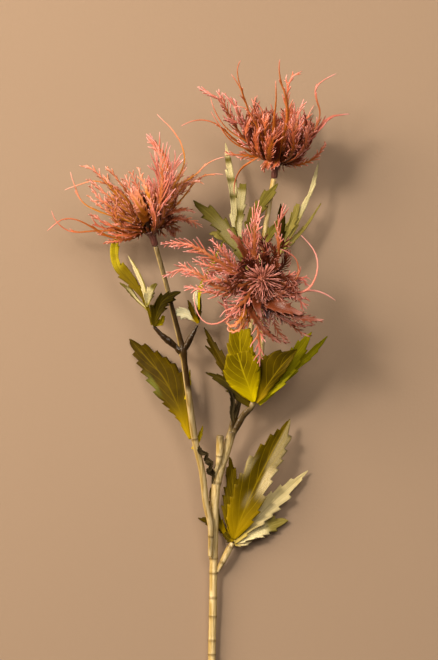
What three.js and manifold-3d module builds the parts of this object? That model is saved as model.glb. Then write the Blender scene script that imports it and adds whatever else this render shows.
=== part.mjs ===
// Dried sea holly: one cut spray with three flower heads, lying on a flat surface.
// Millimetres. The stem lies along Y with the heads toward +Y, +X is to the right and +Z is up.
// The routes are measured from a point beside the stem, half way up the spray. The finished
// group is then moved so that the middle of its underside is the origin.

import * as THREE from "three";
import { mergeVertices } from "three/addons/utils/BufferGeometryUtils.js";
import Module from "manifold-3d";

const wasm = await Module();
wasm.setup();

// Driving dimensions
const cutEndRadius = 2.4;
const forkRadius = 2.8;
const branchRadius = 1.9;
const branchTopRadius = 1.4;
const stalkRadius = 1.35;
const leafStalkRadius = 1.6;
const shootRadius = 1.7;
const shootTipRadius = 1;
const stubFootRadius = 1.3;
const stubTopRadius = 2;
const sleeveLength = 9.5;
const sleeveNeckRadius = 2;
const sleeveRimRadius = 5.8;
const bractRingRadius = 4.9;
const bractBaseHalfWidth = 0.9;
const bractThickness = 0.9;
const sideBractBaseHalfWidth = 0.6;
const sideBractThickness = 0.54;
const leafFootHalfWidth = 0.8;
const leafThickness = 0.7;
const sideLobeThickness = 0.56;
const seatGap = 0.3;
const originOffset = new THREE.Vector3(12.9, 58, 0);

// Finishes
const finishes = {
  stem: { color: 0xb09a60, roughness: 0.6, metalness: 0 },
  shoot: { color: 0x6d5a33, roughness: 0.65, metalness: 0 },
  sleeve: { color: 0x5b3430, roughness: 0.6, metalness: 0 },
  cone: { color: 0x8a4a3a, roughness: 0.7, metalness: 0 },
  bract: { color: 0xc9776a, roughness: 0.65, metalness: 0 },
  brownBract: { color: 0x93553a, roughness: 0.65, metalness: 0 },
  leaf: { color: 0x7f7a1c, roughness: 0.7, metalness: 0 },
  paleLeaf: { color: 0xbfae6a, roughness: 0.7, metalness: 0 },
};

const spray = new THREE.Group();
spray.name = "dried_sea_holly";

function point(list) {
  return new THREE.Vector3(list[0], list[1], list[2]);
}

function curveThrough(route) {
  return new THREE.CatmullRomCurve3(route.map(point), false, "centripetal");
}

// Adds one named piece to the spray.
function addPiece(name, geometry, finish) {
  const mesh = new THREE.Mesh(geometry, new THREE.MeshStandardMaterial(finishes[finish]));
  mesh.name = name;
  spray.add(mesh);
}

// Leaves only the places of a geometry's corners, and merges those that coincide.
function closedBody(geometry) {
  geometry.deleteAttribute("normal");
  geometry.deleteAttribute("uv");
  return mergeVertices(geometry, 1e-4);
}

function toSolid(geometry) {
  return new wasm.Manifold(
    new wasm.Mesh({
      numProp: 3,
      vertProperties: new Float32Array(geometry.attributes.position.array),
      triVerts: new Uint32Array(geometry.index.array),
    }),
  );
}

function toGeometry(solid) {
  const mesh = solid.getMesh();
  const geometry = new THREE.BufferGeometry();
  geometry.setAttribute("position", new THREE.BufferAttribute(mesh.vertProperties, 3));
  geometry.setIndex(new THREE.BufferAttribute(mesh.triVerts, 1));
  return geometry;
}

// Joins strips that grow out of one base into one solid.
function joined(geometries) {
  if (geometries.length === 1) return geometries[0];
  return toGeometry(geometries.map(toSolid).reduce((all, next) => all.add(next)));
}

// Presses flat whatever would reach below the surface that the spray lies on.
function pressed(geometry) {
  const place = geometry.attributes.position;
  for (let i = 0; i < place.count; i++) {
    place.setZ(i, Math.max(place.getZ(i), 0));
  }
  return geometry;
}

// A round stem along a route, tapering from one radius to the other.
function stem(route, startRadius, endRadius, steps) {
  const path = curveThrough(route);
  const circle = new THREE.Shape();
  circle.absarc(0, 0, 1, 0, 2 * Math.PI, false);
  const tube = closedBody(
    new THREE.ExtrudeGeometry(circle, {
      steps,
      curveSegments: 8,
      bevelEnabled: false,
      extrudePath: path,
    }),
  );
  const rings = path.getSpacedPoints(steps);
  const place = tube.attributes.position;
  const corner = new THREE.Vector3();
  for (let i = 0; i < place.count; i++) {
    corner.fromBufferAttribute(place, i);
    let nearest = 0;
    for (let k = 1; k < rings.length; k++) {
      if (corner.distanceTo(rings[k]) < corner.distanceTo(rings[nearest])) nearest = k;
    }
    const radius = THREE.MathUtils.lerp(startRadius, endRadius, nearest / steps);
    corner.sub(rings[nearest]).setLength(radius).add(rings[nearest]);
    place.setXYZ(i, corner.x, corner.y, corner.z);
  }
  return tube;
}

// A flat strip along a route. halfWidths(t) gives how far it reaches to the left and to the
// right of the route at t, from 0 at the base to 1 at the tip. facing(p) is the way that its
// upper side looks at the place p. fold lifts the two edges, as a fraction of the half width.
function strip({ route, steps, halfWidths, thickness, facing, fold = 0 }) {
  const path = curveThrough(route);
  const box = closedBody(new THREE.BoxGeometry(2, 1, 1, fold === 0 ? 1 : 2, steps, 1));
  const place = box.attributes.position;
  for (let i = 0; i < place.count; i++) {
    const side = place.getX(i);
    const t = place.getY(i) + 0.5;
    const upper = place.getZ(i) > 0 ? 0.5 : -0.5;
    const centre = path.getPointAt(t);
    const along = path.getTangentAt(t);
    const across = new THREE.Vector3().crossVectors(along, facing(centre)).normalize();
    const up = new THREE.Vector3().crossVectors(across, along);
    const [left, right] = halfWidths(t);
    const reach = side < 0 ? side * left : side * right;
    const taper = 1 - 0.5 * t;
    const lift = upper * thickness * taper + fold * Math.abs(reach);
    centre.addScaledVector(across, reach).addScaledVector(up, lift);
    place.setXYZ(i, centre.x, centre.y, centre.z);
  }
  return box;
}

// Routes of strips that grow together: the first starts at the foot, and each other one leaves
// the first at the fraction of its length that its own "from" gives.
function grownRoutes(foot, parts) {
  const first = [...foot, ...parts[0].points];
  const path = curveThrough(first);
  return parts.map(({ from, points }, k) => (k === 0 ? first : [path.getPointAt(from).toArray(), ...points]));
}

// Stems

function addStems() {
  const mainStem = [
    [-4.5, -278, 2.4],
    [-4.4, -238, 2.7],
    [-4.3, -198, 3.4],
    [-3.7, -170, 4.4],
    [-3.3, -141, 6],
    [-2.8, -118, 8.5],
    [-2.7, -105, 10],
    [-1, -90, 12.5],
    [4, -74, 15.5],
    [8, -61, 17.5],
  ];
  addPiece("main_stem", pressed(stem(mainStem, cutEndRadius, forkRadius, 22)), "stem");

  const leftBranch = [
    [-5.5, -137.5, 10.6],
    [-5, -119, 12.9],
    [-7.8, -105.6, 13.8],
    [-10.3, -85, 15],
    [-14.5, -66.6, 17],
    [-19.2, -33, 20],
    [-22, -12.6, 22],
    [-27.5, 10, 24.5],
    [-32.4, 30, 27],
    [-38.05, 50.4, 31],
  ];
  addPiece("left_branch", stem(leftBranch, branchRadius, branchTopRadius, 20), "stem");

  const topStalk = [
    [6.7, -60, 17.6],
    [11.5, -45, 19.5],
    [16, -18, 21],
    [22, 18, 24],
    [27.3, 57.6, 29.5],
    [31, 80, 32.3],
    [33.0, 90.9, 34],
  ];
  addPiece("top_stalk", stem(topStalk, stalkRadius, stalkRadius, 16), "stem");

  const frontStalk = [
    [9.6, -60.9, 17.6],
    [14.5, -52, 20],
    [20.7, -43.8, 24],
    [24.5, -25, 26.5],
    [26.2, -5, 31],
    [26.5, 14, 36.5],
    [26.6, 27, 42.5],
    [26.2, 32, 47.5],
    [26, 32.5, 52.2],
  ];
  addPiece("front_stalk", stem(frontStalk, stalkRadius, stalkRadius, 18), "stem");

  const leafStalk = [
    [0.9, -146, 6.2],
    [2.2, -140, 6.7],
    [4.2, -135, 7],
    [7.6, -129, 7.6],
  ];
  addPiece("lower_leaf_stalk", stem(leafStalk, leafStalkRadius, leafStalkRadius, 5), "stem");

  const leftShoot = [
    [-25.4, -10.4, 22.4],
    [-30, -6.6, 23.6],
    [-34.5, -2.9, 24.6],
    [-39.6, 2.4, 25.6],
  ];
  addPiece("left_side_shoot", stem(leftShoot, shootRadius, shootTipRadius, 5), "shoot");

  const rightShoot = [
    [-18.9, -10.4, 22.6],
    [-16.8, -5, 24],
    [-14.2, 0.8, 25],
    [-13, 3, 25.2],
  ];
  addPiece("right_side_shoot", stem(rightShoot, shootRadius, shootTipRadius, 5), "shoot");

  const stub = [
    [-2.6, -86, 16.4],
    [-2, -79, 18.2],
    [-1.2, -71, 20],
    [-0.8, -63.5, 21.4],
  ];
  addPiece("stub_shoot", stem(stub, stubFootRadius, stubTopRadius, 7), "shoot");
}

// Flower heads

const heads = {
  left: { centre: [-41, 59.5, 33], axis: [-0.3, 0.93, 0.2], kneeOut: 1.6, kneeUp: 4 },
  top: { centre: [34, 100.5, 36], axis: [0.1, 0.97, 0.2], kneeOut: 1.6, kneeUp: 4 },
  front: { centre: [26, 31, 62], axis: [0, -0.15, 0.99], kneeOut: 2.6, kneeUp: 3 },
};

// Gives a head its unit vectors: outward along its axis, to the right and toward the front.
function headFrame(head) {
  const axis = point(head.axis).normalize();
  const right = new THREE.Vector3(1, 0, 0).addScaledVector(axis, -axis.x).normalize();
  const front = new THREE.Vector3().crossVectors(right, axis);
  return { ...head, centre: point(head.centre), axis, right, front };
}

// Stands a shape turned about its own Y axis on a head, with Y along the head's axis.
function onHead(frame, geometry) {
  const turn = new THREE.Matrix4().makeBasis(frame.right, frame.axis, frame.front.clone().negate());
  turn.setPosition(frame.centre);
  const stood = geometry.applyMatrix4(turn);
  return turn.determinant() < 0 ? flipped(stood) : stood;
}

function flipped(geometry) {
  const corners = geometry.index.array;
  for (let i = 0; i < corners.length; i += 3) {
    [corners[i], corners[i + 1]] = [corners[i + 1], corners[i]];
  }
  return geometry;
}

function lathed(profile, sides) {
  const outline = profile.map(([radius, height]) => new THREE.Vector2(radius, height));
  return closedBody(new THREE.LatheGeometry(outline, sides));
}

function addSleeve(name, frame) {
  const profile = [
    [0, -sleeveLength],
    [sleeveNeckRadius, -sleeveLength],
    [sleeveNeckRadius + 0.3, -5],
    [3.4, -2.4],
    [sleeveRimRadius, -1],
    [sleeveRimRadius, 0],
    [0, 0],
  ];
  addPiece(`${name}_head_sleeve`, onHead(frame, lathed(profile, 12)), "sleeve");
}

function addCone(name, frame, height, radius) {
  const profile = [
    [0, seatGap],
    [3.8, seatGap],
    [4, 2.5],
    [5, 5.5],
    [radius, 8.5],
    [radius * 0.95, height * 0.72],
    [radius * 0.55, height * 0.93],
    [0, height],
  ];
  addPiece(`${name}_head_cone`, onHead(frame, lathed(profile, 12)), "cone");
}

// How wide a toothed bract is along its length.
function bractWidths(baseHalf, half, teeth) {
  return (t) => {
    const swell = Math.sin(Math.PI * Math.min(1, 0.12 + 0.95 * t)) ** 0.7;
    const tooth = Math.round(t * teeth * 2) % 2 === 0 ? 0.55 : 1;
    const width = Math.max(0.35, half * swell * tooth);
    const spread = THREE.MathUtils.smoothstep(t, 0, 0.38);
    const reach = THREE.MathUtils.lerp(baseHalf, width, spread);
    return [reach, reach];
  };
}

// One bract: strips that share a foot on the head's ring, at an angle in degrees round it.
function addBract(headName, frame, name, angle, parts, finish = "bract") {
  const turn = THREE.MathUtils.degToRad(angle);
  const outward = frame.right
    .clone()
    .multiplyScalar(Math.cos(turn))
    .addScaledVector(frame.front, Math.sin(turn));
  const foot = frame.centre
    .clone()
    .addScaledVector(outward, bractRingRadius)
    .addScaledVector(frame.axis, seatGap);
  const knee = frame.centre
    .clone()
    .addScaledVector(outward, bractRingRadius + frame.kneeOut)
    .addScaledVector(frame.axis, seatGap + frame.kneeUp);
  const facing = (place) => {
    const height = place.clone().sub(frame.centre).dot(frame.axis);
    const inward = frame.centre.clone().addScaledVector(frame.axis, height).sub(place);
    return inward.normalize().add(frame.axis);
  };
  const grown = grownRoutes([foot.toArray(), knee.toArray()], parts);
  const strips = parts.map(({ half, teeth = 5 }, k) =>
    strip({
      route: grown[k],
      steps: teeth * 2,
      halfWidths: bractWidths(k === 0 ? bractBaseHalfWidth : sideBractBaseHalfWidth, half, teeth),
      thickness: k === 0 ? bractThickness : sideBractThickness,
      facing,
    }),
  );
  addPiece(`${headName}_head_${name}`, pressed(joined(strips)), finish);
}

function addLeftHead() {
  const frame = headFrame(heads.left);
  addSleeve("left", frame);
  addCone("left", frame, 14, 5.2);
  addBract("left", frame, "right_bract", 3, [
    { half: 3, teeth: 7, points: [[-30, 77, 37], [-24, 86, 39], [-15, 91.5, 41], [-6.5, 99.8, 42], [3, 104, 43]] },
    { from: 0.3, half: 1, teeth: 6, points: [[-21.7, 80, 35], [-16.6, 86, 35], [-10.7, 91, 36], [3, 94, 36]] },
  ]);
  addBract("left", frame, "brown_bract", 36, [
    { half: 4, teeth: 4, points: [[-30, 69.5, 41], [-22, 70, 43], [-13.5, 71.5, 43.5]] },
  ], "brownBract");
  addBract("left", frame, "arched_bract", 68, [
    { half: 3, teeth: 7, points: [[-30, 78, 44.5], [-25, 87, 47], [-20.6, 100, 48], [-25, 115.8, 47], [-37, 129, 46]] },
  ]);
  addBract("left", frame, "upright_bract", 101, [
    { half: 6, teeth: 7, points: [[-37.5, 72, 51], [-34.5, 86, 54.5], [-34.3, 99, 55], [-37, 113, 54], [-43, 116.5, 53]] },
  ]);
  addBract("left", frame, "strap_bract", 134, [
    { half: 2, teeth: 5, points: [[-44, 73, 48], [-45, 86, 51], [-48.6, 98, 51]] },
  ]);
  addBract("left", frame, "left_bract", 166, [
    { half: 5, teeth: 7, points: [[-51, 70, 42], [-61, 80.5, 45], [-70, 91, 46], [-81, 98, 45]] },
    { from: 0.45, half: 1, teeth: 5, points: [[-68, 86, 42], [-80, 88.4, 39], [-93, 83.5, 37]] },
  ]);
  addBract("left", frame, "curled_bract", 199, [
    { half: 2, teeth: 6, points: [[-52, 65, 35], [-68, 69.5, 36], [-81, 75, 35], [-86, 84, 34], [-89, 95.6, 34]] },
  ]);
  addBract("left", frame, "looped_bract", 232, [
    { half: 4, teeth: 7, points: [[-50, 58, 27], [-62, 55.5, 26], [-75.5, 61, 27], [-90, 67.5, 28], [-104, 59, 28]] },
    { from: 0.35, half: 1, teeth: 5, points: [[-72, 56, 23], [-86, 58.5, 20], [-101.5, 72.8, 19]] },
  ]);
  addBract("left", frame, "back_left_bract", 262, [
    { half: 5, teeth: 6, points: [[-50, 66, 20], [-58, 75, 10], [-64, 84, 2], [-70, 94, 0.3]] },
  ]);
  addBract("left", frame, "back_right_bract", 297, [
    { half: 5, teeth: 6, points: [[-40, 70, 20], [-36, 81, 10], [-33, 91, 2], [-31, 101, 0.3]] },
  ]);
  addBract("left", frame, "low_bract", 330, [
    { half: 3, teeth: 5, points: [[-30, 63, 29], [-24, 64, 28], [-16.6, 61.5, 27], [-9.8, 63, 26]] },
  ]);
}

function addTopHead() {
  const frame = headFrame(heads.top);
  addSleeve("top", frame);
  addCone("top", frame, 14, 5.2);
  addBract("top", frame, "right_bract", 8, [
    { half: 5, teeth: 7, points: [[46, 109, 39], [54, 116, 41], [61, 123, 42], [69, 128, 42], [78.5, 129.4, 41]] },
    { from: 0.45, half: 1.4, teeth: 6, points: [[60, 129, 45], [57, 142, 47], [61, 149, 47], [70.6, 153.5, 47]] },
  ]);
  addBract("top", frame, "front_right_bract", 40, [
    { half: 4, teeth: 6, points: [[43.5, 112, 46], [47.5, 122, 49.5], [49.7, 132, 50.5], [52, 138, 50.5]] },
  ]);
  addBract("top", frame, "middle_bract", 70, [
    { half: 3, teeth: 7, points: [[38, 114, 51], [40, 127, 56], [39.5, 139, 57], [36.5, 149, 57], [36.2, 161.5, 56]] },
    { from: 0.6, half: 1.4, teeth: 4, points: [[41, 147, 58], [49.6, 153.5, 58]] },
  ]);
  addBract("top", frame, "strap_bract", 100, [
    { half: 2.5, teeth: 6, points: [[32, 114, 50], [32.5, 127, 53], [33.5, 139, 54], [33.6, 149, 53]] },
  ]);
  addBract("top", frame, "brown_bract", 130, [
    { half: 3, teeth: 6, points: [[26, 112, 47], [22, 122, 50], [18, 130, 50], [13.5, 133.5, 49], [8, 133, 47]] },
  ], "brownBract");
  addBract("top", frame, "tall_left_bract", 158, [
    { half: 2, teeth: 7, points: [[22, 114, 42], [18, 129, 44], [14, 143, 45], [11.3, 154, 44], [13, 162, 43]] },
    { from: 0.6, half: 0.8, teeth: 4, points: [[11, 148, 46], [6.5, 154, 46]] },
  ]);
  addBract("top", frame, "left_bract", 186, [
    { half: 5, teeth: 7, points: [[21, 108, 37], [11, 119, 38], [5, 130, 39], [-1, 139, 39], [-13.7, 146, 38]] },
  ]);
  addBract("top", frame, "whisker_bract", 214, [
    { half: 2, teeth: 6, points: [[20, 106, 31], [7, 116, 30], [-3, 125, 30], [-12, 126.5, 30], [-23.4, 122.5, 29]] },
  ]);
  addBract("top", frame, "hooked_bract", 240, [
    { half: 3, teeth: 6, points: [[26, 103, 28], [18, 100, 28], [11.7, 95, 28], [9.3, 88, 27.5], [9, 81, 27]] },
  ], "brownBract");
  addBract("top", frame, "back_left_bract", 268, [
    { half: 5, teeth: 6, points: [[30, 111, 22], [26, 121, 11], [23, 131, 2], [20, 141, 0.3]] },
  ]);
  addBract("top", frame, "back_right_bract", 300, [
    { half: 5, teeth: 6, points: [[41, 110, 23], [47, 119, 12], [53, 128, 2], [58, 137, 0.3]] },
  ]);
  addBract("top", frame, "low_bract", 336, [
    { half: 4, teeth: 6, points: [[45, 101, 31], [53, 100.5, 30], [62.7, 107.4, 29]] },
  ]);
}

function addFrontHead() {
  const frame = headFrame(heads.front);
  addSleeve("front", frame);
  addCone("front", frame, 16, 8);
  addBract("front", frame, "low_right_bract", 20, [
    { half: 4, teeth: 6, points: [[38, 21, 69], [46, 12.5, 73], [54, 9, 74], [62, 5, 74]] },
  ], "brownBract");
  addBract("front", frame, "right_bract", 348, [
    { half: 3, teeth: 7, points: [[40, 28, 70], [50, 25, 74], [58, 31, 76], [58.8, 42, 77], [47.8, 56.3, 77]] },
    { from: 0.4, half: 1.2, teeth: 5, points: [[52, 23, 72], [60, 21.8, 71], [69.7, 17.2, 69]] },
  ]);
  addBract("front", frame, "upper_right_bract", 305, [
    { half: 3.5, teeth: 6, points: [[35, 43, 69], [35.5, 54, 71], [36, 64, 71], [39.8, 74.8, 70]] },
  ]);
  addBract("front", frame, "upright_bract", 260, [
    { half: 4.5, teeth: 6, points: [[22, 44, 70], [21, 56, 72], [21.3, 67, 72], [23.8, 77, 71]] },
  ]);
  addBract("front", frame, "strap_bract", 227, [
    { half: 2.5, teeth: 5, points: [[15, 43, 69], [10, 53, 71], [4.5, 60, 70]] },
  ]);
  addBract("front", frame, "long_left_bract", 197, [
    { half: 4, teeth: 7, points: [[8, 36.5, 69], [-3.5, 43.5, 71], [-12, 48.5, 71], [-23, 51.5, 69], [-34.7, 51, 66]] },
    { from: 0.3, half: 1, teeth: 4, points: [[1, 46, 73], [-4.8, 53.4, 74]] },
  ]);
  addBract("front", frame, "left_bract", 166, [
    { half: 3.5, teeth: 7, points: [[10, 26, 68], [-3, 27, 70], [-14, 34, 70], [-24.5, 35.5, 68], [-33.4, 31, 66]] },
    { from: 0.3, half: 1.5, teeth: 5, points: [[-6, 24, 68], [-16, 24.5, 66], [-27, 27, 64]] },
  ]);
  addBract("front", frame, "looped_bract", 138, [
    { half: 3, teeth: 6, points: [[13, 18, 67], [3, 10, 68], [-6, 3, 67], [-13.5, 11, 66], [-16, 22, 65.5]] },
  ]);
  addBract("front", frame, "short_bract", 108, [
    { half: 5, teeth: 5, points: [[18, 18, 70], [13, 10, 73], [9, 4, 74]] },
  ], "brownBract");
  addBract("front", frame, "bottom_bract", 79, [
    { half: 4.5, teeth: 7, points: [[25, 14, 68], [23.4, 3, 69], [23.6, -9, 66], [24.3, -22, 61]] },
  ]);
  addBract("front", frame, "comb_bract", 50, [
    { half: 3.5, teeth: 6, points: [[32.5, 17, 67.5], [36, 5, 68.5], [40, -8, 67]] },
  ]);
}

// Leaves

const upward = () => new THREE.Vector3(0, 0, 1);

// How wide a toothed leaf lobe is along its length.
function leafWidths(left, right, teeth) {
  return (t) => {
    const swell = Math.sin(Math.PI * Math.min(1, 0.1 + 0.9 * t)) ** 0.8;
    const tooth = Math.round(t * teeth * 2) % 2 === 0 ? 0.8 : 1;
    const spread = THREE.MathUtils.smoothstep(t, 0, 0.2);
    const reach = (half) => THREE.MathUtils.lerp(leafFootHalfWidth, Math.max(0.3, half * swell * tooth), spread);
    return [reach(left), reach(right)];
  };
}

// One leaf: lobes that grow from one foot, joined in one solid.
function addLeaf(name, foot, lobes, finish = "leaf") {
  const grown = grownRoutes([foot], lobes);
  const strips = lobes.map(({ left, right, teeth = 4, fold = 0.15 }, k) =>
    strip({
      route: grown[k],
      steps: teeth * 2,
      halfWidths: leafWidths(left, right, teeth),
      thickness: k === 0 ? leafThickness : sideLobeThickness,
      facing: upward,
      fold,
    }),
  );
  addPiece(name, pressed(joined(strips)), finish);
}

function addLeaves() {
  addLeaf("lower_left_leaf", [-17.4, -65, 17], [
    { left: 9, right: 10, teeth: 7, fold: -0.15, points: [[-24, -48, 14.5], [-33, -30, 10], [-43, -18, 5.5], [-54.4, -5.5, 1.5]] },
  ]);

  addLeaf("lowest_leaf", [8.6, -127.4, 7.8], [
    { left: 9, right: 8, teeth: 7, points: [[15, -112, 11], [26, -88, 15], [35, -70, 14], [43, -54, 11]] },
    { from: 0.06, left: 5, right: 5, teeth: 6, points: [[8.5, -112, 7.8], [8.5, -96, 8], [6.5, -77, 9]] },
    { from: 0.02, left: 3, right: 3, teeth: 4, points: [[4, -122, 4.5], [-3, -117, 2.4], [-12.7, -114.4, 1.5]] },
  ]);
  addLeaf("lowest_side_leaf", [9.4, -129.2, 7.4], [
    { left: 7, right: 6, teeth: 6, points: [[20, -117, 5.5], [34, -103, 4], [54, -85.5, 1.5]] },
    { from: 0.08, left: 4, right: 4, teeth: 5, points: [[20, -124, 4.5], [29, -120, 2.5], [42, -115.7, 1]] },
  ], "paleLeaf");

  addLeaf("whorl_left_leaf", [18.6, -42, 25.2], [
    { left: 5, right: 5, teeth: 5, points: [[9, -33, 24.5], [-1, -18, 19], [-9, -1, 13]] },
    { from: 0.1, left: 2.5, right: 2.5, teeth: 4, points: [[10, -38, 23.5], [1, -30, 18.5], [-8, -25.7, 13]] },
  ]);
  addLeaf("whorl_middle_leaf", [20, -41.3, 27.2], [
    { left: 9, right: 9, teeth: 6, points: [[17, -33, 31], [13.5, -20, 34.5], [12.5, -4, 36]] },
    { from: 0.1, left: 3, right: 3, teeth: 4, points: [[12, -34, 30], [6, -26, 31], [1.5, -18.5, 31]] },
  ]);
  addLeaf("whorl_right_leaf", [24, -43.6, 25.2], [
    { left: 10, right: 4, teeth: 6, points: [[30.4, -31.5, 29.5], [38.2, -21, 32], [46.6, -11.8, 32]] },
    { from: 0.15, left: 4, right: 4, teeth: 5, points: [[36, -30, 27], [46, -15.5, 27.5], [55.6, -1.6, 24]] },
    { from: 0.1, left: 3, right: 3.5, teeth: 6, points: [[34, -33, 25.2], [45, -23, 25], [55, -14.7, 23], [65.2, -4, 19]] },
  ]);

  addLeaf("upper_left_leaf", [21.2, 22.5, 26.5], [
    { left: 4, right: 5, teeth: 6, points: [[16, 40, 27], [8, 56, 27], [-3, 68, 25], [-15.5, 78, 22]] },
    { from: 0.25, left: 3, right: 3, teeth: 6, points: [[12, 52, 26], [10, 66, 24], [8, 85, 21], [4, 113, 17]] },
  ]);
  addLeaf("upper_middle_leaf", [26.8, 50, 30.5], [
    { left: 4, right: 4, teeth: 6, points: [[22, 58, 34], [23, 68, 36], [29, 78, 37], [35.3, 88, 38]] },
    { from: 0.05, left: 3, right: 3, teeth: 5, points: [[31, 60, 33], [35, 68, 34], [37, 76.5, 34]] },
  ]);
  addLeaf("upper_right_leaf", [24.8, 22.4, 25.9], [
    { left: 4, right: 4, teeth: 7, points: [[35, 42, 25], [43, 59, 24], [52, 76, 22], [60, 101, 18]] },
    { from: 0.3, left: 2.2, right: 2.2, teeth: 5, points: [[46, 55, 21], [56, 67, 17], [61.7, 76.5, 14]] },
  ], "paleLeaf");

  addLeaf("left_shoot_leaf", [-40.1, 2.95, 25.7], [
    { left: 3.5, right: 3.5, teeth: 7, points: [[-44, 16, 26], [-54, 30, 24], [-62, 40, 21], [-60.6, 61, 16]] },
    { from: 0.2, left: 1.8, right: 1.8, teeth: 4, points: [[-46, 27, 28], [-54.6, 44.6, 27]] },
    { from: 0.15, left: 1.8, right: 1.8, teeth: 4, points: [[-50, 19, 22], [-60, 28.6, 18]] },
  ]);
  addLeaf("left_shoot_front_leaf", [-39, 2.2, 27.35], [
    { left: 4, right: 4, teeth: 5, points: [[-37, 10, 30], [-33, 17, 31.5], [-24.5, 22.7, 31]] },
  ]);
  addLeaf("right_shoot_leaf", [-12.6, 4, 25.4], [
    { left: 2, right: 2, teeth: 4, points: [[-16, 10, 27], [-18.7, 18, 28]] },
    { from: 0.1, left: 2, right: 2, teeth: 4, points: [[-12, 11, 25], [-11.5, 20, 24.5]] },
    { from: 0.3, left: 0.9, right: 0.9, teeth: 7, points: [[-12, 20, 27], [-10, 28, 25.5], [-5.6, 37, 24], [2.9, 54.3, 21]] },
  ]);
}

addStems();
addLeftHead();
addTopHead();
addFrontHead();
addLeaves();
spray.position.copy(originOffset);

export default spray;
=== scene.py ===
import math
import random

import bmesh
import bpy
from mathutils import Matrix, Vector, noise


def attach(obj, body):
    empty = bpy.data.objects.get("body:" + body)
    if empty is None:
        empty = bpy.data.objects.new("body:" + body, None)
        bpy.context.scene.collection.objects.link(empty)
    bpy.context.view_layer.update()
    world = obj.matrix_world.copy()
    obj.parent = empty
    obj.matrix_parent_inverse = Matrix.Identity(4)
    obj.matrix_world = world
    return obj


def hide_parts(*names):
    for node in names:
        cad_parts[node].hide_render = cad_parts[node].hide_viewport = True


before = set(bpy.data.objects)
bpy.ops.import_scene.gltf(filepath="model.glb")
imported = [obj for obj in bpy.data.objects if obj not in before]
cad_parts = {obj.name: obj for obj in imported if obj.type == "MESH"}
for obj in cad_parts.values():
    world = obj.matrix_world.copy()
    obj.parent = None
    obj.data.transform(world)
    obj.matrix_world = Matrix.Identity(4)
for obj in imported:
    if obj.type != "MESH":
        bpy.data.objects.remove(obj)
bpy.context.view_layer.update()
noise.seed_set(11)  # so that the fronds wander the same way every time

# Routes are in millimetres, measured from a point beside the stem half way up the spray.
# The middle of the spray's underside is the origin, so they are moved by this much.
routeOffset = Vector((12.9, 58, 0))
millimetre = 0.001
upward = Vector((0, 0, 1))
lowestPoint = 0.0006  # nothing is drawn lower, so that no piece sinks into the surface


def place(point):
    return (Vector(point) + routeOffset) * millimetre


def mix(a, b, share):
    return a + (b - a) * share


def smoothStep(low, high, value):
    share = min(1, max(0, (value - low) / (high - low)))
    return share * share * (3 - 2 * share)


def alongList(values, share):
    spot = share * (len(values) - 1)
    first = min(int(spot), len(values) - 2)
    return mix(values[first], values[first + 1], spot - first)


def smoothRoute(points, steps):
    # Catmull-Rom through the points, then equal steps along it.
    pieces = 10  # between each point and the next
    ends = [points[0] * 2 - points[1], *points, points[-1] * 2 - points[-2]]
    dense = []
    for k in range(1, len(ends) - 2):
        a, b, c, d = ends[k - 1:k + 3]
        for j in range(pieces):
            t = j / pieces
            cubic = (b * 3 - a - c * 3 + d) * t ** 3
            square = (a * 2 - b * 5 + c * 4 - d) * t ** 2
            dense.append((b * 2 + (c - a) * t + square + cubic) * 0.5)
    dense.append(points[-1])
    lengths = [0]
    for a, b in zip(dense, dense[1:]):
        lengths.append(lengths[-1] + (b - a).length)
    spots = []
    k = 0
    for i in range(steps + 1):
        want = lengths[-1] * i / steps
        while k < len(lengths) - 2 and lengths[k + 1] < want:
            k += 1
        span = max(lengths[k + 1] - lengths[k], 1e-9)
        spots.append(dense[k].lerp(dense[k + 1], (want - lengths[k]) / span))
    return spots


def routeFrames(spots, facing):
    # At each spot: where it is, which way the route runs, its right and its upper side.
    frames = []
    last = len(spots) - 1
    for i, spot in enumerate(spots):
        along = (spots[min(i + 1, last)] - spots[max(i - 1, 0)]).normalized()
        across = along.cross(facing(spot)).normalized()
        frames.append((spot, along, across, across.cross(along)))
    return frames


def setInput(tree, socket, value):
    # A number or a colour is set on the socket, and anything else is linked to it.
    if isinstance(value, tuple):
        socket.default_value = (*value, 1)
    elif isinstance(value, (int, float)):
        socket.default_value = value
    else:
        tree.links.new(value, socket)


def newGroup(name, inputs, outputs):
    tree = bpy.data.node_groups.new(name, "ShaderNodeTree")
    for label, value in inputs.items():
        socket = tree.interface.new_socket(name=label, in_out="INPUT", socket_type="NodeSocketFloat")
        socket.default_value = value
    for label in outputs:
        tree.interface.new_socket(name=label, in_out="OUTPUT", socket_type="NodeSocketFloat")
    return tree, tree.nodes.new("NodeGroupInput"), tree.nodes.new("NodeGroupOutput")


def mathNode(tree, operation, *values, clamp=False):
    node = tree.nodes.new("ShaderNodeMath")
    node.operation = operation
    node.use_clamp = clamp
    for socket, value in zip(node.inputs, values):
        setInput(tree, socket, value)
    return node.outputs[0]


def mixColour(tree, share, a, b, blend="MIX"):
    node = tree.nodes.new("ShaderNodeMix")
    node.data_type = "RGBA"
    node.blend_type = blend
    for socket, value in zip((node.inputs[0], node.inputs[6], node.inputs[7]), (share, a, b)):
        setInput(tree, socket, value)
    return node.outputs[2]


def attributeNode(tree, name):
    node = tree.nodes.new("ShaderNodeAttribute")
    node.attribute_name = name
    return node.outputs["Fac"]


def rangeNode(tree, value, low, high):
    # 0 at low, 1 at high, held in between.
    node = tree.nodes.new("ShaderNodeMapRange")
    node.interpolation_type = "SMOOTHSTEP"
    node.inputs["From Min"].default_value = low
    node.inputs["From Max"].default_value = high
    tree.links.new(value, node.inputs["Value"])
    return node.outputs[0]


def noiseNode(tree, vector, scale, detail):
    node = tree.nodes.new("ShaderNodeTexNoise")
    node.inputs["Detail"].default_value = detail
    tree.links.new(vector, node.inputs["Vector"])
    setInput(tree, node.inputs["Scale"], scale)
    return node.outputs[0]


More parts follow.
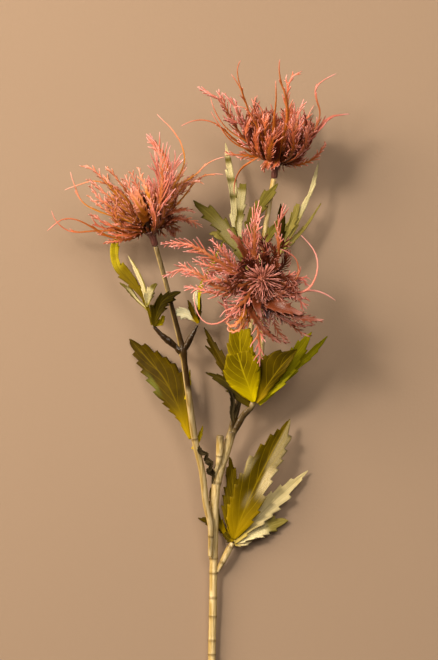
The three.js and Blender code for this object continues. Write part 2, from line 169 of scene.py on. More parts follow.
def makeMottleGroup():
    # Uneven drying: broad patches, fine grain and small dark specks.
    tree, given, out = newGroup("dryMottle", {"Patch size": 120.0, "Grain size": 1400.0},
                                ["Patches", "Grain", "Specks"])
    surface = tree.nodes.new("ShaderNodeTexCoord").outputs["Object"]
    patches = noiseNode(tree, surface, given.outputs["Patch size"], 4)
    grain = noiseNode(tree, surface, given.outputs["Grain size"], 3)
    sharpPatches = mathNode(tree, "MULTIPLY_ADD", patches, 2.2, -0.6, clamp=True)
    specks = mathNode(tree, "GREATER_THAN", grain, 0.63)
    for label, value in (("Patches", sharpPatches), ("Grain", grain), ("Specks", specks)):
        tree.links.new(value, out.inputs[label])
    return tree


def makeVeinGroup():
    # A midrib and slanting side veins, from how far a spot lies along and across its leaf.
    tree, given, out = newGroup("leafVeins", {"Side veins": 9.0, "Slant": 2.6}, ["Veins", "Height"])
    across = mathNode(tree, "ABSOLUTE", attributeNode(tree, "across"))
    count = mathNode(tree, "MULTIPLY", attributeNode(tree, "along"), given.outputs["Side veins"])
    slant = mathNode(tree, "MULTIPLY", across, given.outputs["Slant"])
    cycle = mathNode(tree, "FRACT", mathNode(tree, "SUBTRACT", count, slant))
    ridge = mathNode(tree, "ABSOLUTE", mathNode(tree, "SUBTRACT", cycle, 0.5))
    sideVein = rangeNode(tree, ridge, 0.055, 0.012)
    midrib = rangeNode(tree, across, 0.06, 0.02)
    tree.links.new(mathNode(tree, "MAXIMUM", sideVein, midrib), out.inputs["Veins"])
    tree.links.new(mathNode(tree, "MULTIPLY", ridge, 2), out.inputs["Height"])
    return tree


mottleGroup = makeMottleGroup()
veinGroup = makeVeinGroup()
print("shader groups made")


def newMaterial(name, roughness=0.5, sheen=0.0, subsurface=0.0, specular=0.5):
    material = bpy.data.materials.new(name)
    material.use_nodes = True
    shader = material.node_tree.nodes["Principled BSDF"]
    settings = {"Roughness": roughness, "Sheen Weight": sheen, "Specular IOR Level": specular,
                "Subsurface Weight": subsurface, "Subsurface Radius": (1.0, 0.5, 0.25),
                "Subsurface Scale": 0.0015}
    for label, value in settings.items():
        shader.inputs[label].default_value = value
    return material, material.node_tree, shader


def groupNode(tree, group, **values):
    node = tree.nodes.new("ShaderNodeGroup")
    node.node_tree = group
    for label, value in values.items():
        node.inputs[label.replace("_", " ")].default_value = value
    return node


def finishSurface(tree, shader, colour, height, depth):
    bump = tree.nodes.new("ShaderNodeBump")
    bump.inputs["Distance"].default_value = depth
    tree.links.new(height, bump.inputs["Height"])
    tree.links.new(bump.outputs[0], shader.inputs["Normal"])
    tree.links.new(colour, shader.inputs["Base Color"])


bractFinish = {"patches": 0.45, "footShade": 0.65, "paintedShadeShare": 0.95, "paintedShadeTint": (0.30, 0.09, 0.03)}


def bractMaterial(name, rib, finger, pale, shade):
    # Brown at the rib, painted shade toward the foot, paler along the fingers and at their tips.
    material, tree, shader = newMaterial(name, subsurface=0.02, specular=0.26)
    mottle = groupNode(tree, mottleGroup, Patch_size=150.0, Grain_size=1500.0)
    out = attributeNode(tree, "out")
    hue = mathNode(tree, "MULTIPLY", attributeNode(tree, "hue"), 0.5)
    skin = mixColour(tree, hue, finger, rib)
    colour = mixColour(tree, rangeNode(tree, out, 0.05, 0.45), rib, skin)
    colour = mixColour(tree, rangeNode(tree, out, 0.55, 1.15), colour, pale)
    patches = mathNode(tree, "MULTIPLY", mottle.outputs["Patches"], bractFinish["patches"])
    colour = mixColour(tree, patches, colour, rib)
    # Painted shade: darker toward the foot, where the bracts crowd together.
    foot = rangeNode(tree, attributeNode(tree, "along"), 0.5, 0.05)
    colour = mixColour(tree, mathNode(tree, "MULTIPLY", foot, bractFinish["footShade"]), colour, shade)
    # Painted shade: multiplied toward dark brown for bracts set low inside the head, fillers behind and dark
    # sheets in gaps, and deepened at random from finger to finger.
    paintedShadeMix = mathNode(tree, "MULTIPLY", attributeNode(tree, "tone"), bractFinish["paintedShadeShare"])
    colour = mixColour(tree, paintedShadeMix, colour, bractFinish["paintedShadeTint"], "MULTIPLY")
    glossy = rangeNode(tree, mottle.outputs["Grain"], 0.5, 0.66)
    tree.links.new(mathNode(tree, "MULTIPLY_ADD", glossy, -0.22, 0.36), shader.inputs["Roughness"])
    finishSurface(tree, shader, colour, mottle.outputs["Grain"], 0.0002)
    return material


# The two pairs hold the noise levels where the mottle over the pale patches, cloth wear and painted highlight
# alike, and the speckle start and end. The speckle leaves at least its share.
leafFinish = {"footShare": 0.8, "wornAndLit": (-0.25, 0.45), "speckle": (0.42, 0.56), "speckleShare": 0.6,
              "specks": 0.12, "grain": 0.4, "depth": 0.00006}


def leafMaterial(name, dark, bright, vein, pale=(0.52, 0.48, 0.31), veins=0.45, footReach=0.42,
                 patches=0.42):
    # Cloth-like leaf: brighter toward the foot, with thin long veins, specks and pale patches, which are
    # cloth wear on some lobes and painted highlights on others.
    material, tree, shader = newMaterial(name, 0.55, subsurface=0.02, specular=0.03)
    mottle = groupNode(tree, mottleGroup, Patch_size=55.0, Grain_size=2200.0)
    veinMask = groupNode(tree, veinGroup, Side_veins=5.5, Slant=2.6)
    foot = rangeNode(tree, attributeNode(tree, "along"), footReach, 0.02)
    foot = mathNode(tree, "MULTIPLY", foot, leafFinish["footShare"])
    share = mathNode(tree, "MULTIPLY_ADD", mottle.outputs["Patches"], patches, foot)
    colour = mixColour(tree, mathNode(tree, "MINIMUM", share, 1.0), dark, bright)
    wornAndLit = rangeNode(tree, mottle.outputs["Patches"], *leafFinish["wornAndLit"])
    speckle = rangeNode(tree, mottle.outputs["Grain"], *leafFinish["speckle"])
    least = leafFinish["speckleShare"]
    speckle = mathNode(tree, "MULTIPLY_ADD", speckle, 1 - least, least)
    wornAndLit = mathNode(tree, "MULTIPLY", wornAndLit, speckle)
    # Pale patches: cloth wear on some lobes, painted highlights on others.
    colour = mixColour(tree, mathNode(tree, "MULTIPLY", attributeNode(tree, "pale"), wornAndLit), colour, pale)
    colour = mixColour(tree, mathNode(tree, "MULTIPLY", veinMask.outputs["Veins"], veins), colour, vein)
    specks = mathNode(tree, "MULTIPLY", mottle.outputs["Specks"], leafFinish["specks"])
    colour = mixColour(tree, specks, colour, dark)
    height = mathNode(tree, "MULTIPLY", mottle.outputs["Grain"], leafFinish["grain"])
    height = mathNode(tree, "ADD", height, veinMask.outputs["Height"])
    finishSurface(tree, shader, colour, height, leafFinish["depth"])
    return material


stemFinish = {"streakStretch": (900, 45, 900), "patches": 0.3, "sideShadeAndStreakShare": 0.85, "dusk": (0.036, 0.017, 0.003)}


def stemMaterial(name, pale, dark, edge, ring):
    # A pale upper side between golden sides that are painted shade, with long streaks and dark rings at the
    # joints.
    material, tree, shader = newMaterial(name, 0.24, specular=0.3)
    mottle = groupNode(tree, mottleGroup, Patch_size=90.0, Grain_size=1200.0)
    stretch = tree.nodes.new("ShaderNodeMapping")
    stretch.inputs["Scale"].default_value = stemFinish["streakStretch"]
    tree.links.new(tree.nodes.new("ShaderNodeTexCoord").outputs["Object"], stretch.inputs["Vector"])
    streaks = noiseNode(tree, stretch.outputs[0], 1, 3)
    streak = mathNode(tree, "MULTIPLY_ADD", streaks, 3.2, -1.25, clamp=True)
    colour = mixColour(tree, streak, pale, dark)
    patches = mathNode(tree, "MULTIPLY", mottle.outputs["Patches"], stemFinish["patches"])
    colour = mixColour(tree, patches, colour, edge)
    # Painted shade on the sides that turn away, with a broken brown streak on the upper left.
    sideShadeAndStreakShare = mathNode(tree, "MULTIPLY", attributeNode(tree, "sideShadeAndStreak"), stemFinish["sideShadeAndStreakShare"])
    colour = mixColour(tree, sideShadeAndStreakShare, colour, edge)
    # Dark rings at the joints, and on a sleeve the painted shade of its pleat hollows.
    colour = mixColour(tree, attributeNode(tree, "ring"), colour, ring)
    colour = mixColour(tree, attributeNode(tree, "dusk"), colour, stemFinish["dusk"])
    finishSurface(tree, shader, colour, mathNode(tree, "ADD", streak, mottle.outputs["Grain"]), 0.0002)
    return material


def coneMaterial(name, base, tip):
    material, tree, shader = newMaterial(name, 0.5, sheen=0.05, specular=0.3)
    mottle = groupNode(tree, mottleGroup, Patch_size=300.0, Grain_size=1500.0)
    colour = mixColour(tree, mathNode(tree, "POWER", attributeNode(tree, "along"), 1.4), base, tip)
    patches = mathNode(tree, "MULTIPLY", mottle.outputs["Patches"], 0.35)
    finishSurface(tree, shader, mixColour(tree, patches, colour, base), mottle.outputs["Grain"], 0.0002)
    return material


def floorMaterial(name, colour, patch):
    material, tree, shader = newMaterial(name, 0.85)
    mottle = groupNode(tree, mottleGroup, Patch_size=3.0, Grain_size=400.0)
    patches = mathNode(tree, "MULTIPLY", mottle.outputs["Patches"], 0.3)
    finishSurface(tree, shader, mixColour(tree, patches, colour, patch), mottle.outputs["Grain"], 0.0001)
    return material


# Colours of a bract: its rib, its fingers, their pale tips, and the painted shade at its foot.
bractColours = {
    "salmon": ((0.45, 0.155, 0.010), (0.68, 0.225, 0.155), (0.88, 0.46, 0.43), (0.110, 0.018, 0.003)),
    "orange": ((0.45, 0.145, 0.009), (0.61, 0.195, 0.110), (0.87, 0.45, 0.40), (0.100, 0.017, 0.003)),
    "rust": ((0.33, 0.082, 0.008), (0.50, 0.120, 0.060), (0.84, 0.38, 0.33), (0.070, 0.010, 0.002)),
    "pink": ((0.31, 0.082, 0.022), (0.68, 0.205, 0.158), (0.94, 0.48, 0.46), (0.050, 0.009, 0.002)),
    "mauve": ((0.10, 0.022, 0.006), (0.21, 0.050, 0.018), (0.70, 0.32, 0.26), (0.022, 0.004, 0.001)),
}
# Colours of a leaf: its dark and bright parts, its veins and its pale patches, cloth wear on some leaves and
# painted highlights on others.
leafColours = {
    "brightLeaf": {"dark": (0.070, 0.042, 0.0005), "bright": (0.66, 0.49, 0.0005),
                   "vein": (0.60, 0.46, 0.006), "footReach": 0.8, "patches": 0.3},
    # oliveLeaf's pale colour is the painted highlight on the lowest leaf.
    "oliveLeaf": {"dark": (0.036, 0.023, 0.0004), "bright": (0.28, 0.175, 0.001),
                  "vein": (0.30, 0.20, 0.004), "pale": (0.56, 0.45, 0.24), "patches": 0.32},
    "brownLeaf": {"dark": (0.016, 0.0075, 0.0001), "bright": (0.32, 0.205, 0.0003),
                  "vein": (0.16, 0.105, 0.001), "pale": (0.12, 0.12, 0.018), "patches": 0.2},
    "darkLeaf": {"dark": (0.014, 0.009, 0.0003), "bright": (0.060, 0.040, 0.001),
                 "vein": (0.11, 0.08, 0.004), "veins": 0.4},
    # duskyLeaf's pale colour also paints the lit patches and painted shadow bands on a lobe of the upper left
    # leaf.
    "duskyLeaf": {"dark": (0.070, 0.052, 0.008), "bright": (0.23, 0.185, 0.028),
                  "vein": (0.26, 0.21, 0.035), "pale": (0.62, 0.52, 0.27), "veins": 0.4},
    "greenLeaf": {"dark": (0.13, 0.118, 0.001), "bright": (0.44, 0.36, 0.002), "vein": (0.50, 0.41, 0.01),
                  "veins": 0.35},
    "paleLeaf": {"dark": (0.74, 0.61, 0.35), "bright": (0.40, 0.29, 0.06), "vein": (0.20, 0.14, 0.04),
                 "veins": 0.35, "patches": 0.7},
    "leafBack": {"dark": (0.20, 0.15, 0.026), "bright": (0.42, 0.34, 0.09), "vein": (0.48, 0.39, 0.12),
                 "pale": (0.74, 0.62, 0.34), "veins": 0.4},
    "shootLeaf": {"dark": (0.10, 0.064, 0.0008), "bright": (0.26, 0.18, 0.002),
                  "vein": (0.035, 0.018, 0.0005), "pale": (0.46, 0.36, 0.01), "footReach": 0.03},
    "dryLeaf": {"dark": (0.018, 0.012, 0.005), "bright": (0.050, 0.034, 0.013), "vein": (0.14, 0.10, 0.04),
                "veins": 0.5},
}
# Colours of a stem: its upper side, its streaks, its golden sides and painted side shade, and its rings.
stemColours = {
    "khakiStem": ((0.74, 0.57, 0.30), (0.44, 0.30, 0.10), (0.35, 0.215, 0.045), (0.13, 0.07, 0.016)),
    "darkStem": ((0.020, 0.010, 0.003), (0.008, 0.003, 0.001), (0.055, 0.026, 0.004), (0.02, 0.01, 0.003)),
    "plumSleeve": ((0.15, 0.05, 0.036), (0.045, 0.014, 0.012), (0.28, 0.12, 0.08), (0.04, 0.012, 0.01)),
}
materials = {
    **{name: bractMaterial(f"{name}Bract", *colours) for name, colours in bractColours.items()},
    **{name: leafMaterial(name, **colours) for name, colours in leafColours.items()},
    **{name: stemMaterial(name, *colours) for name, colours in stemColours.items()},
    "darkCone": coneMaterial("darkCone", (0.022, 0.008, 0.005), (0.16, 0.05, 0.028)),
    "pinkCone": coneMaterial("pinkCone", (0.28, 0.074, 0.034), (1.0, 0.42, 0.36)),
    "floor": floorMaterial("paleFloor", (0.275, 0.184, 0.118), (0.25, 0.166, 0.105)),
}
print("materials made")


def newBmesh(layerNames):
    bm = bmesh.new()
    layers = {name: bm.verts.layers.float.new(name) for name in layerNames}
    return bm, layers


def addPiece(name, bm, looks, node=None, thickness=0.0, levels=1):
    # Turns a bmesh into a finished piece. thickness is in millimetres.
    mesh = bpy.data.meshes.new(name)
    bm.to_mesh(mesh)
    bm.free()
    for polygon in mesh.polygons:
        polygon.use_smooth = True
    for look in looks:
        mesh.materials.append(materials[look])
    piece = bpy.data.objects.new(name, mesh)
    bpy.context.scene.collection.objects.link(piece)
    if thickness:
        shell = piece.modifiers.new("shell", "SOLIDIFY")
        shell.thickness = thickness * millimetre
        shell.offset = 0
    if levels:
        smooth = piece.modifiers.new("smooth", "SUBSURF")
        smooth.levels = smooth.render_levels = levels
    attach(piece, "root")
    if node:
        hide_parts(node)


def appendMesh(target, source):
    # Adds one bmesh to another that has the same layers.
    mesh = bpy.data.meshes.new("part")
    source.to_mesh(mesh)
    source.free()
    target.from_mesh(mesh)
    bpy.data.meshes.remove(mesh)


def pushRow(bm, edges, corners, places):
    # Extrudes a chain or ring of edges and puts the new corners in place, in the old order.
    made = bmesh.ops.extrude_edge_only(bm, edges=edges)["geom"]
    fresh = [item for item in made if isinstance(item, bmesh.types.BMVert)]
    corners = [next(v for v in fresh if any(e.other_vert(v) is old for e in v.link_edges))
               for old in corners]
    for corner, spot in zip(corners, places):
        corner.co = spot
    edges = [item for item in made
             if isinstance(item, bmesh.types.BMEdge) and all(v in fresh for v in item.verts)]
    return edges, corners


def startRing(bm, places):
    corners = bmesh.ops.create_circle(bm, cap_ends=False, segments=len(places), radius=1)["verts"]
    for corner, spot in zip(corners, places):
        corner.co = spot
    return list(dict.fromkeys(e for v in corners for e in v.link_edges)), corners


def closeTube(bm, sides):
    bmesh.ops.holes_fill(bm, edges=[e for e in bm.edges if e.is_boundary], sides=sides)
    bmesh.ops.recalc_face_normals(bm, faces=bm.faces)


stemLook = {"sides": 12, "grooves": 5, "grooveDepth": 0.06, "ringRise": 0.14, "ringLength": 0.7,
            "ringShade": 0.85, "stepLength": 0.9, "uneven": 0.05, "duskBlur": (7, 3)}

# dark holds bands as (from y, to y, strength), and knots swellings as (y, rise, length).
stems = {
    "main_stem": {
        "route": [(-4.5, -278, 2.75), (-4.4, -238, 3.0), (-4.3, -198, 3.6), (-3.7, -170, 4.5),
                  (-3.3, -141, 6), (-2.8, -118, 8.5), (-2.7, -105, 10), (-1, -90, 12.5), (4, -74, 15.5),
                  (8, -61, 17.5)],
        "radii": [2.65, 2.6, 2.55, 2.5, 2.55, 2.6, 2.7, 2.85, 3.1, 2.9],
        "ringsAtY": [-264, -251, -237, -224, -210, -197, -188.5, -174, -162.5, -147.5, -138.5, -92],
        "dark": [(-63, -50, 0.95)],
    },
    "left_branch": {
        "route": [(-5.4, -137.5, 10.2), (-5, -119, 12.9), (-7.8, -105.6, 13.8), (-10.3, -85, 15),
                  (-14.5, -66.6, 17), (-19.2, -33, 20), (-22, -12.6, 22), (-27.5, 10, 24.5), (-32.4, 30, 27),
                  (-38.05, 50.4, 31)],
        "radii": [1.3, 2.0, 2.2, 2.2, 2.2, 2.2, 2.1, 1.9, 1.55, 1.45, 1.6],
        "ringsAtY": [-125, -66],
        "knots": [(-13, 0.45, 3.5)],
        "dark": [(-36, 22, 1.0), (22, 52, 0.8), (-66, -36, 0.6), (-134, -66, 0.4)],
        # painted highlight: the lit left side stays lighter in the dark bands
        "leftHighlight": 0.9,
    },
    "top_stalk": {
        "route": [(5.4, -68, 16.4), (7.4, -60, 17.7), (11.5, -45, 19.5), (16, -18, 21), (22, 18, 24),
                  (27.3, 57.6, 29.5), (31, 80, 32.3), (33.0, 90.9, 34)],
        "radii": [1.7, 2.0, 1.8, 1.6, 1.6, 1.6, 1.6, 1.65, 1.7],
        "ringsAtY": [-55, 22, 50],
        "dark": [(-60, -30, 1.0)],
    },
    "front_stalk": {
        "route": [(6.2, -68, 16.4), (9.4, -61, 17.7), (14.5, -52, 20), (20.7, -43.8, 24), (24.5, -25, 26.5),
                  (26.2, -5, 31), (26.5, 14, 36.5), (26.6, 27, 42.5), (26.2, 32, 47.5), (26, 32.5, 52.2)],
        "radii": [1.9, 2.1, 1.9, 1.6, 1.5, 1.5, 1.5, 1.5],
        "ringsAtY": [-59.2, -57.2, -55.2],
        "dark": [(-62, -46, 0.95)],
    },
    "lower_leaf_stalk": {
        "route": [(-1.2, -147, 5.8), (0.8, -143, 6.2), (2.8, -139.2, 6.8), (5, -135, 7.2),
                  (8.2, -129, 7.8)],
        "radii": [1.1, 1.7, 2.1, 2.2, 1.6],
        "ringsAtY": [-141, -131.5],
    },
    "left_side_shoot": {
        "route": [(-22, -13.6, 21.9), (-25.4, -10.6, 22.4), (-30.3, -6.5, 23.6), (-35, -2.6, 24.6),
                  (-39.6, 2.4, 25.6)],
        "radii": [2.6, 2.1, 2.0, 2.1, 1.2, 0.8],
        "rough": 0.35, "look": "darkStem", "slot": "shoot",
    },
    "right_side_shoot": {
        "route": [(-22, -12.6, 21.9), (-19.6, -9.4, 22.6), (-17, -4.6, 24), (-14.3, 0.6, 25),
                  (-13, 3, 25.2)],
        "radii": [2.4, 2.0, 2.0, 1.9, 1.2, 0.8],
        "rough": 0.35, "look": "darkStem", "slot": "shoot",
    },
    "stub_shoot": {
        "route": [(-2.6, -90, 13.6), (-1.9, -85, 16), (-0.2, -79, 18.2), (0.5, -71, 20),
                  (0.7, -63.5, 21.4)],
        "radii": [1.2, 1.5, 2.1, 2.5, 2.4],
        "ringsAtY": [-76],
        "dark": [(-65, -60, 0.8)],
        "slot": "shoot",
    },
}


def growStem(bm, layers, stem):
    route = [place(point) for point in stem["route"]]
    length = sum((b - a).length for a, b in zip(route, route[1:]))
    steps = max(8, round(length / (stemLook["stepLength"] * millimetre)))
    frames = routeFrames(smoothRoute(route, steps), lambda spot: upward)
    sides = stemLook["sides"]
    far, near = stemLook["duskBlur"]
    ringSpots = [(y + routeOffset.y) * millimetre for y in stem.get("ringsAtY", [])]
    edges = corners = None
    for k, (spot, _, across, up) in enumerate(frames):
        share = k / steps
        nearest = min((abs(spot.y - y) for y in ringSpots), default=1)
        ring = math.exp(-((nearest / millimetre / stemLook["ringLength"]) ** 2))
        y = spot.y / millimetre - routeOffset.y
        dusk = max((strength * smoothStep(low - far, low + near, y) * smoothStep(high + far, high - near, y)
                    for low, high, strength in stem.get("dark", [])), default=0)
        swell = sum(rise * math.exp(-(((y - at) / reach) ** 2))
                    for at, rise, reach in stem.get("knots", []))
        radius = alongList(stem["radii"], share) * millimetre
        radius *= 1 + stemLook["ringRise"] * ring + swell + stemLook["uneven"] * noise.noise(spot * 300)
        radius *= 1 + stem.get("rough", 0) * noise.noise(spot * 420)
        turns = [2 * math.pi * j / sides for j in range(sides)]
        places = []
        for turn in turns:
            wave = 0.5 + 0.5 * math.cos(stemLook["grooves"] * turn + 2 * share)
            groove = 1 - stemLook["grooveDepth"] * wave
            corner = spot + (across * math.cos(turn) + up * math.sin(turn)) * radius * groove
            corner.z = max(corner.z, lowestPoint)
            places.append(corner)
        edges, corners = pushRow(bm, edges, corners, places) if k else startRing(bm, places)
        for turn, corner in zip(turns, corners):
            # Painted highlight: the lit left side is kept lighter within the dark bands.
            litLeftSide = smoothStep(0.45, 0.85, -math.cos(turn))
            streak = smoothStep(0.25, 0.6, math.sin(turn)) * smoothStep(0.2, 0.45, -math.cos(turn))
            broken = smoothStep(-0.1, 0.15, noise.noise(spot * 90))
            corner[layers["ring"]] = stemLook["ringShade"] * ring
            corner[layers["dusk"]] = dusk * (1 - stem.get("leftHighlight", 0.2) * litLeftSide)
            # Painted side shade where the stem turns away, and a broken brown streak on the upper left.
            corner[layers["sideShadeAndStreak"]] = max(smoothStep(0.7, 0.97, abs(math.cos(turn))), streak * broken)
    closeTube(bm, sides)


for stemName, stem in stems.items():
    stemMesh, stemLayers = newBmesh(["ring", "dusk", "sideShadeAndStreak"])
    growStem(stemMesh, stemLayers, stem)
    look, slotName = stem.get("look", "khakiStem"), stem.get("slot", "stem")
    addPiece(f"{stemName}_skin", stemMesh, [look], stemName)
print("stems made")


# gap is the part of the ring, in degrees, that has no unnamed bracts.
heads = {
    "left": {"centre": (-41, 59.5, 33), "axis": (-0.3, 0.93, 0.2), "kneeOut": 1.6, "kneeUp": 4, "turnUp": 1.0,
             "gap": (92, 150)},
    "top": {"centre": (34, 100.5, 36), "axis": (0.1, 0.97, 0.2), "kneeOut": 1.6, "kneeUp": 4, "turnUp": 1.0,
            "gap": (62, 112)},
    "front": {"centre": (26, 31, 62), "axis": (0, -0.15, 0.99), "kneeOut": 2.6, "kneeUp": 3, "turnUp": 0.3,
              "gap": (0, 0)},
}
ringRadius = 3.9
seatGap = 0.3


def headFrame(name):
    head = heads[name]
    axis = Vector(head["axis"]).normalized()
    right = (Vector((1, 0, 0)) - axis * axis.x).normalized()
    return {**head, "name": name, "at": Vector(head["centre"]), "axis": axis, "right": right,
            "front": right.cross(axis)}


def outwardFrom(head, angle):
    turn = math.radians(angle)
    return head["right"] * math.cos(turn) + head["front"] * math.sin(turn)


def onHead(head, angle, radius, height):
    return head["at"] + outwardFrom(head, angle) * radius + head["axis"] * height


def bractFacing(head, turnUp):
    centre, axis = place(head["at"]), head["axis"]

    def facing(spot):
        inward = centre + axis * (spot - centre).dot(axis) - spot
        return inward.normalized() + axis + upward * turnUp

    return facing


# The profile is given as (radius, height) from the head's centre.
# The sleeve's shade share darkens its pleat hollows as painted shade.
sleeveLook = {"sides": 20, "pleat": 0.07, "uneven": 0.05, "shade": 0.6,
              "profile": [(1.6, -9.5), (2.1, -9.3), (2.15, -7), (2.2, -5), (2.5, -3.4), (3.2, -2.0),
                          (4.1, -1.0), (4.5, -0.3), (4.2, 0.2), (2.4, 0.3)]}


def addSleeve(head):
    bm, layers = newBmesh(["ring"])
    sides = sleeveLook["sides"]
    edges = corners = None
    for k, (radius, height) in enumerate(sleeveLook["profile"]):
        places = []
        for j in range(sides):
            uneven = sleeveLook["uneven"] * noise.noise(Vector((j, k * 0.4, radius)))
            pleat = 1 - sleeveLook["pleat"] * (j % 2) - uneven
            places.append(place(onHead(head, 360 * j / sides, radius * pleat, height)))
        edges, corners = pushRow(bm, edges, corners, places) if k else startRing(bm, places)
        for j, corner in enumerate(corners):
            # Painted shade in the hollows of the odd pleats.
            corner[layers["ring"]] = sleeveLook["shade"] * (j % 2)
    closeTube(bm, sides)
    name = f"{head['name']}_head_sleeve"
    addPiece(f"{name}_skin", bm, ["plumSleeve"], name)


sideCone = {"florets": 90, "core": 3.6, "height": 6.5, "stretch": 1.5, "length": 4.4, "spread": 105,
            "tangle": 1.4, "look": "darkCone"}
frontCone = {"florets": 140, "core": 3.6, "height": 7.4, "stretch": 1.2, "length": 9.5, "spread": 100,
             "tangle": 2.3, "look": "pinkCone"}
goldenAngle = 137.508
floretSink = 0.85  # florets start this far out from the middle of the core, as a share of its size


def addCone(head, look):
    # Pointed florets all round a small egg-shaped core, in a spiral.
    rng = random.Random(f"{head['name']} cone")
    bm, layers = newBmesh(["along"])
    middle = head["at"] + head["axis"] * look["height"]
    core = bmesh.ops.create_uvsphere(bm, u_segments=16, v_segments=10, radius=1)["verts"]
    for corner in core:
        flat = head["right"] * corner.co.x + head["front"] * corner.co.y
        raised = head["axis"] * corner.co.z * look["core"] * look["stretch"]
        corner.co = place(middle + flat * look["core"] + raised)
    for k in range(look["florets"]):
        share = (k + 0.5) / look["florets"]
        lean = math.radians(look["spread"]) * share ** 0.62
        outward = outwardFrom(head, k * goldenAngle)
        heading = (head["axis"] * math.cos(lean) * look["stretch"] + outward * math.sin(lean)).normalized()
        foot = middle + head["axis"] * look["core"] * look["stretch"] * math.cos(lean) * floretSink
        foot = foot + outward * look["core"] * math.sin(lean) * floretSink
        length = look["length"] * rng.uniform(0.7, 1.15)
        spike = bmesh.ops.create_cone(bm, cap_ends=True, segments=5, radius1=0.55, radius2=0.2,
                                      depth=length)["verts"]
        turnTo = heading.to_track_quat("Z", "X")
        side = Vector((rng.uniform(-1, 1), rng.uniform(-1, 1), rng.uniform(-1, 1)))
        glow = rng.uniform(0.45, 1)
        for corner in spike:
            raised = (corner.co.z + length / 2) / length
            spot = turnTo @ corner.co + heading * length / 2 + side * look["tangle"] * raised * raised
            corner.co = place(foot + spot)
            corner[layers["along"]] = raised * glow
    bmesh.ops.recalc_face_normals(bm, faces=bm.faces)
    name = f"{head['name']}_head_cone"
    addPiece(f"{name}_florets", bm, [look["look"]], name)


# half is half the rib's width. The fingers stand within span, and their length and sweep vary.
frondLooks = {
    "feather": {"half": 1.1, "fingers": 11, "length": 9, "sweep": 26, "span": (0.22, 0.97), "forks": 0.35,
                "skip": 0.08},
    "plume": {"half": 1.3, "fingers": 18, "length": 8, "sweep": 31, "span": (0.2, 0.98), "forks": 0.4,
              "skip": 0.06},
    "fan": {"half": 1.2, "fingers": 14, "length": 18, "sweep": 23, "span": (0.18, 0.9), "forks": 0.3,
            "skip": 0.05, "vary": 0.14},
    "comb": {"half": 0.9, "fingers": 13, "length": 4, "sweep": 34, "span": (0.2, 1.0), "forks": 0.1,
             "skip": 0.08},
    "antler": {"half": 0.9, "fingers": 6, "length": 8, "sweep": 34, "span": (0.3, 0.95), "forks": 0.6,
               "skip": 0.1},
    "whisker": {"half": 1.0, "fingers": 6, "length": 3.5, "sweep": 24, "span": (0.3, 0.85), "forks": 0.0,
                "skip": 0.3},
    "whip": {"half": 0.95, "fingers": 0, "span": (0.3, 0.8)},
    "broad": {"half": 2.4, "fingers": 11, "length": 6, "sweep": 26, "span": (0.25, 0.97), "forks": 0.15,
              "skip": 0.08},
    "blade": {"half": 4.0, "fingers": 11, "length": 2.6, "sweep": 34, "span": (0.3, 1.0), "forks": 0.0,
              "skip": 0.1, "taper": 2.4, "rim": 0.3},
}
frondLayers = ["along", "out", "tone", "hue"]
tipHalf = 0.27
fingerLook = {"half": 0.4, "halfPerLength": 0.018, "shortest": 1.2, "longFrom": 6, "forkFrom": 5,
              "forkAt": (2, 3), "forkLength": 0.38, "forkSweep": 34, "forkHalf": 0.75, "outFrom": 0.12}
# From broadFrom on, a rib is cupped along its middle and crinkled, and its rims are paler.
ribLook = {"taper": 1.3, "footWidth": 0.7, "broadFrom": 2, "cup": 0.45, "crinkle": 0.4, "rim": 0.6,
           "paleFrom": 0.55, "vary": 0.38, "wander": 0.0009}


def growFinger(bm, layers, back, ahead, along, side, up, finger):
    # A pointed finger from a rib's side edge, curving forward. A long one forks part way.
    edges = [bm.edges.get((back, ahead))]
    centre = (back.co + ahead.co) / 2
    sweep = math.radians(finger["sweep"])
    heading = along * math.cos(sweep) + side * math.sin(sweep)
    steps = 5 if finger["length"] > fingerLook["longFrom"] else 3
    step = finger["length"] * millimetre / steps
    for k in range(1, steps + 1):
        share = k / steps
        heading = (heading + along * finger["bend"] + up * finger["lift"] * share).normalized()
        centre = centre + heading * step
        inner = (along - heading * along.dot(heading)).normalized()
        if inner.length < 0.5:  # the finger runs straight ahead
            inner = -side
        half = mix(finger["half"], tipHalf, share ** 1.3) * millimetre
        previousBack, previousAhead = back, ahead
        ends = (centre - inner * half, centre + inner * half)
        edges, (back, ahead) = pushRow(bm, edges, (back, ahead), ends)
        out = mix(finger["outFrom"], 1, share)
        for corner in (back, ahead):
            corner[layers["along"]] = min(1, finger["along"] + 0.25 * share)
            corner[layers["out"]] = out
            corner[layers["tone"]] = finger["tone"]
            corner[layers["hue"]] = finger["hue"]
        if finger["fork"] and k in fingerLook["forkAt"]:
            branch = {**finger, "length": finger["length"] * fingerLook["forkLength"], "fork": False,
                      "sweep": fingerLook["forkSweep"], "half": finger["half"] * fingerLook["forkHalf"],
                      "outFrom": out}
            if k == fingerLook["forkAt"][0]:
                growFinger(bm, layers, previousBack, back, heading, -inner, up, branch)
            else:
                growFinger(bm, layers, previousAhead, ahead, heading, inner, up, branch)


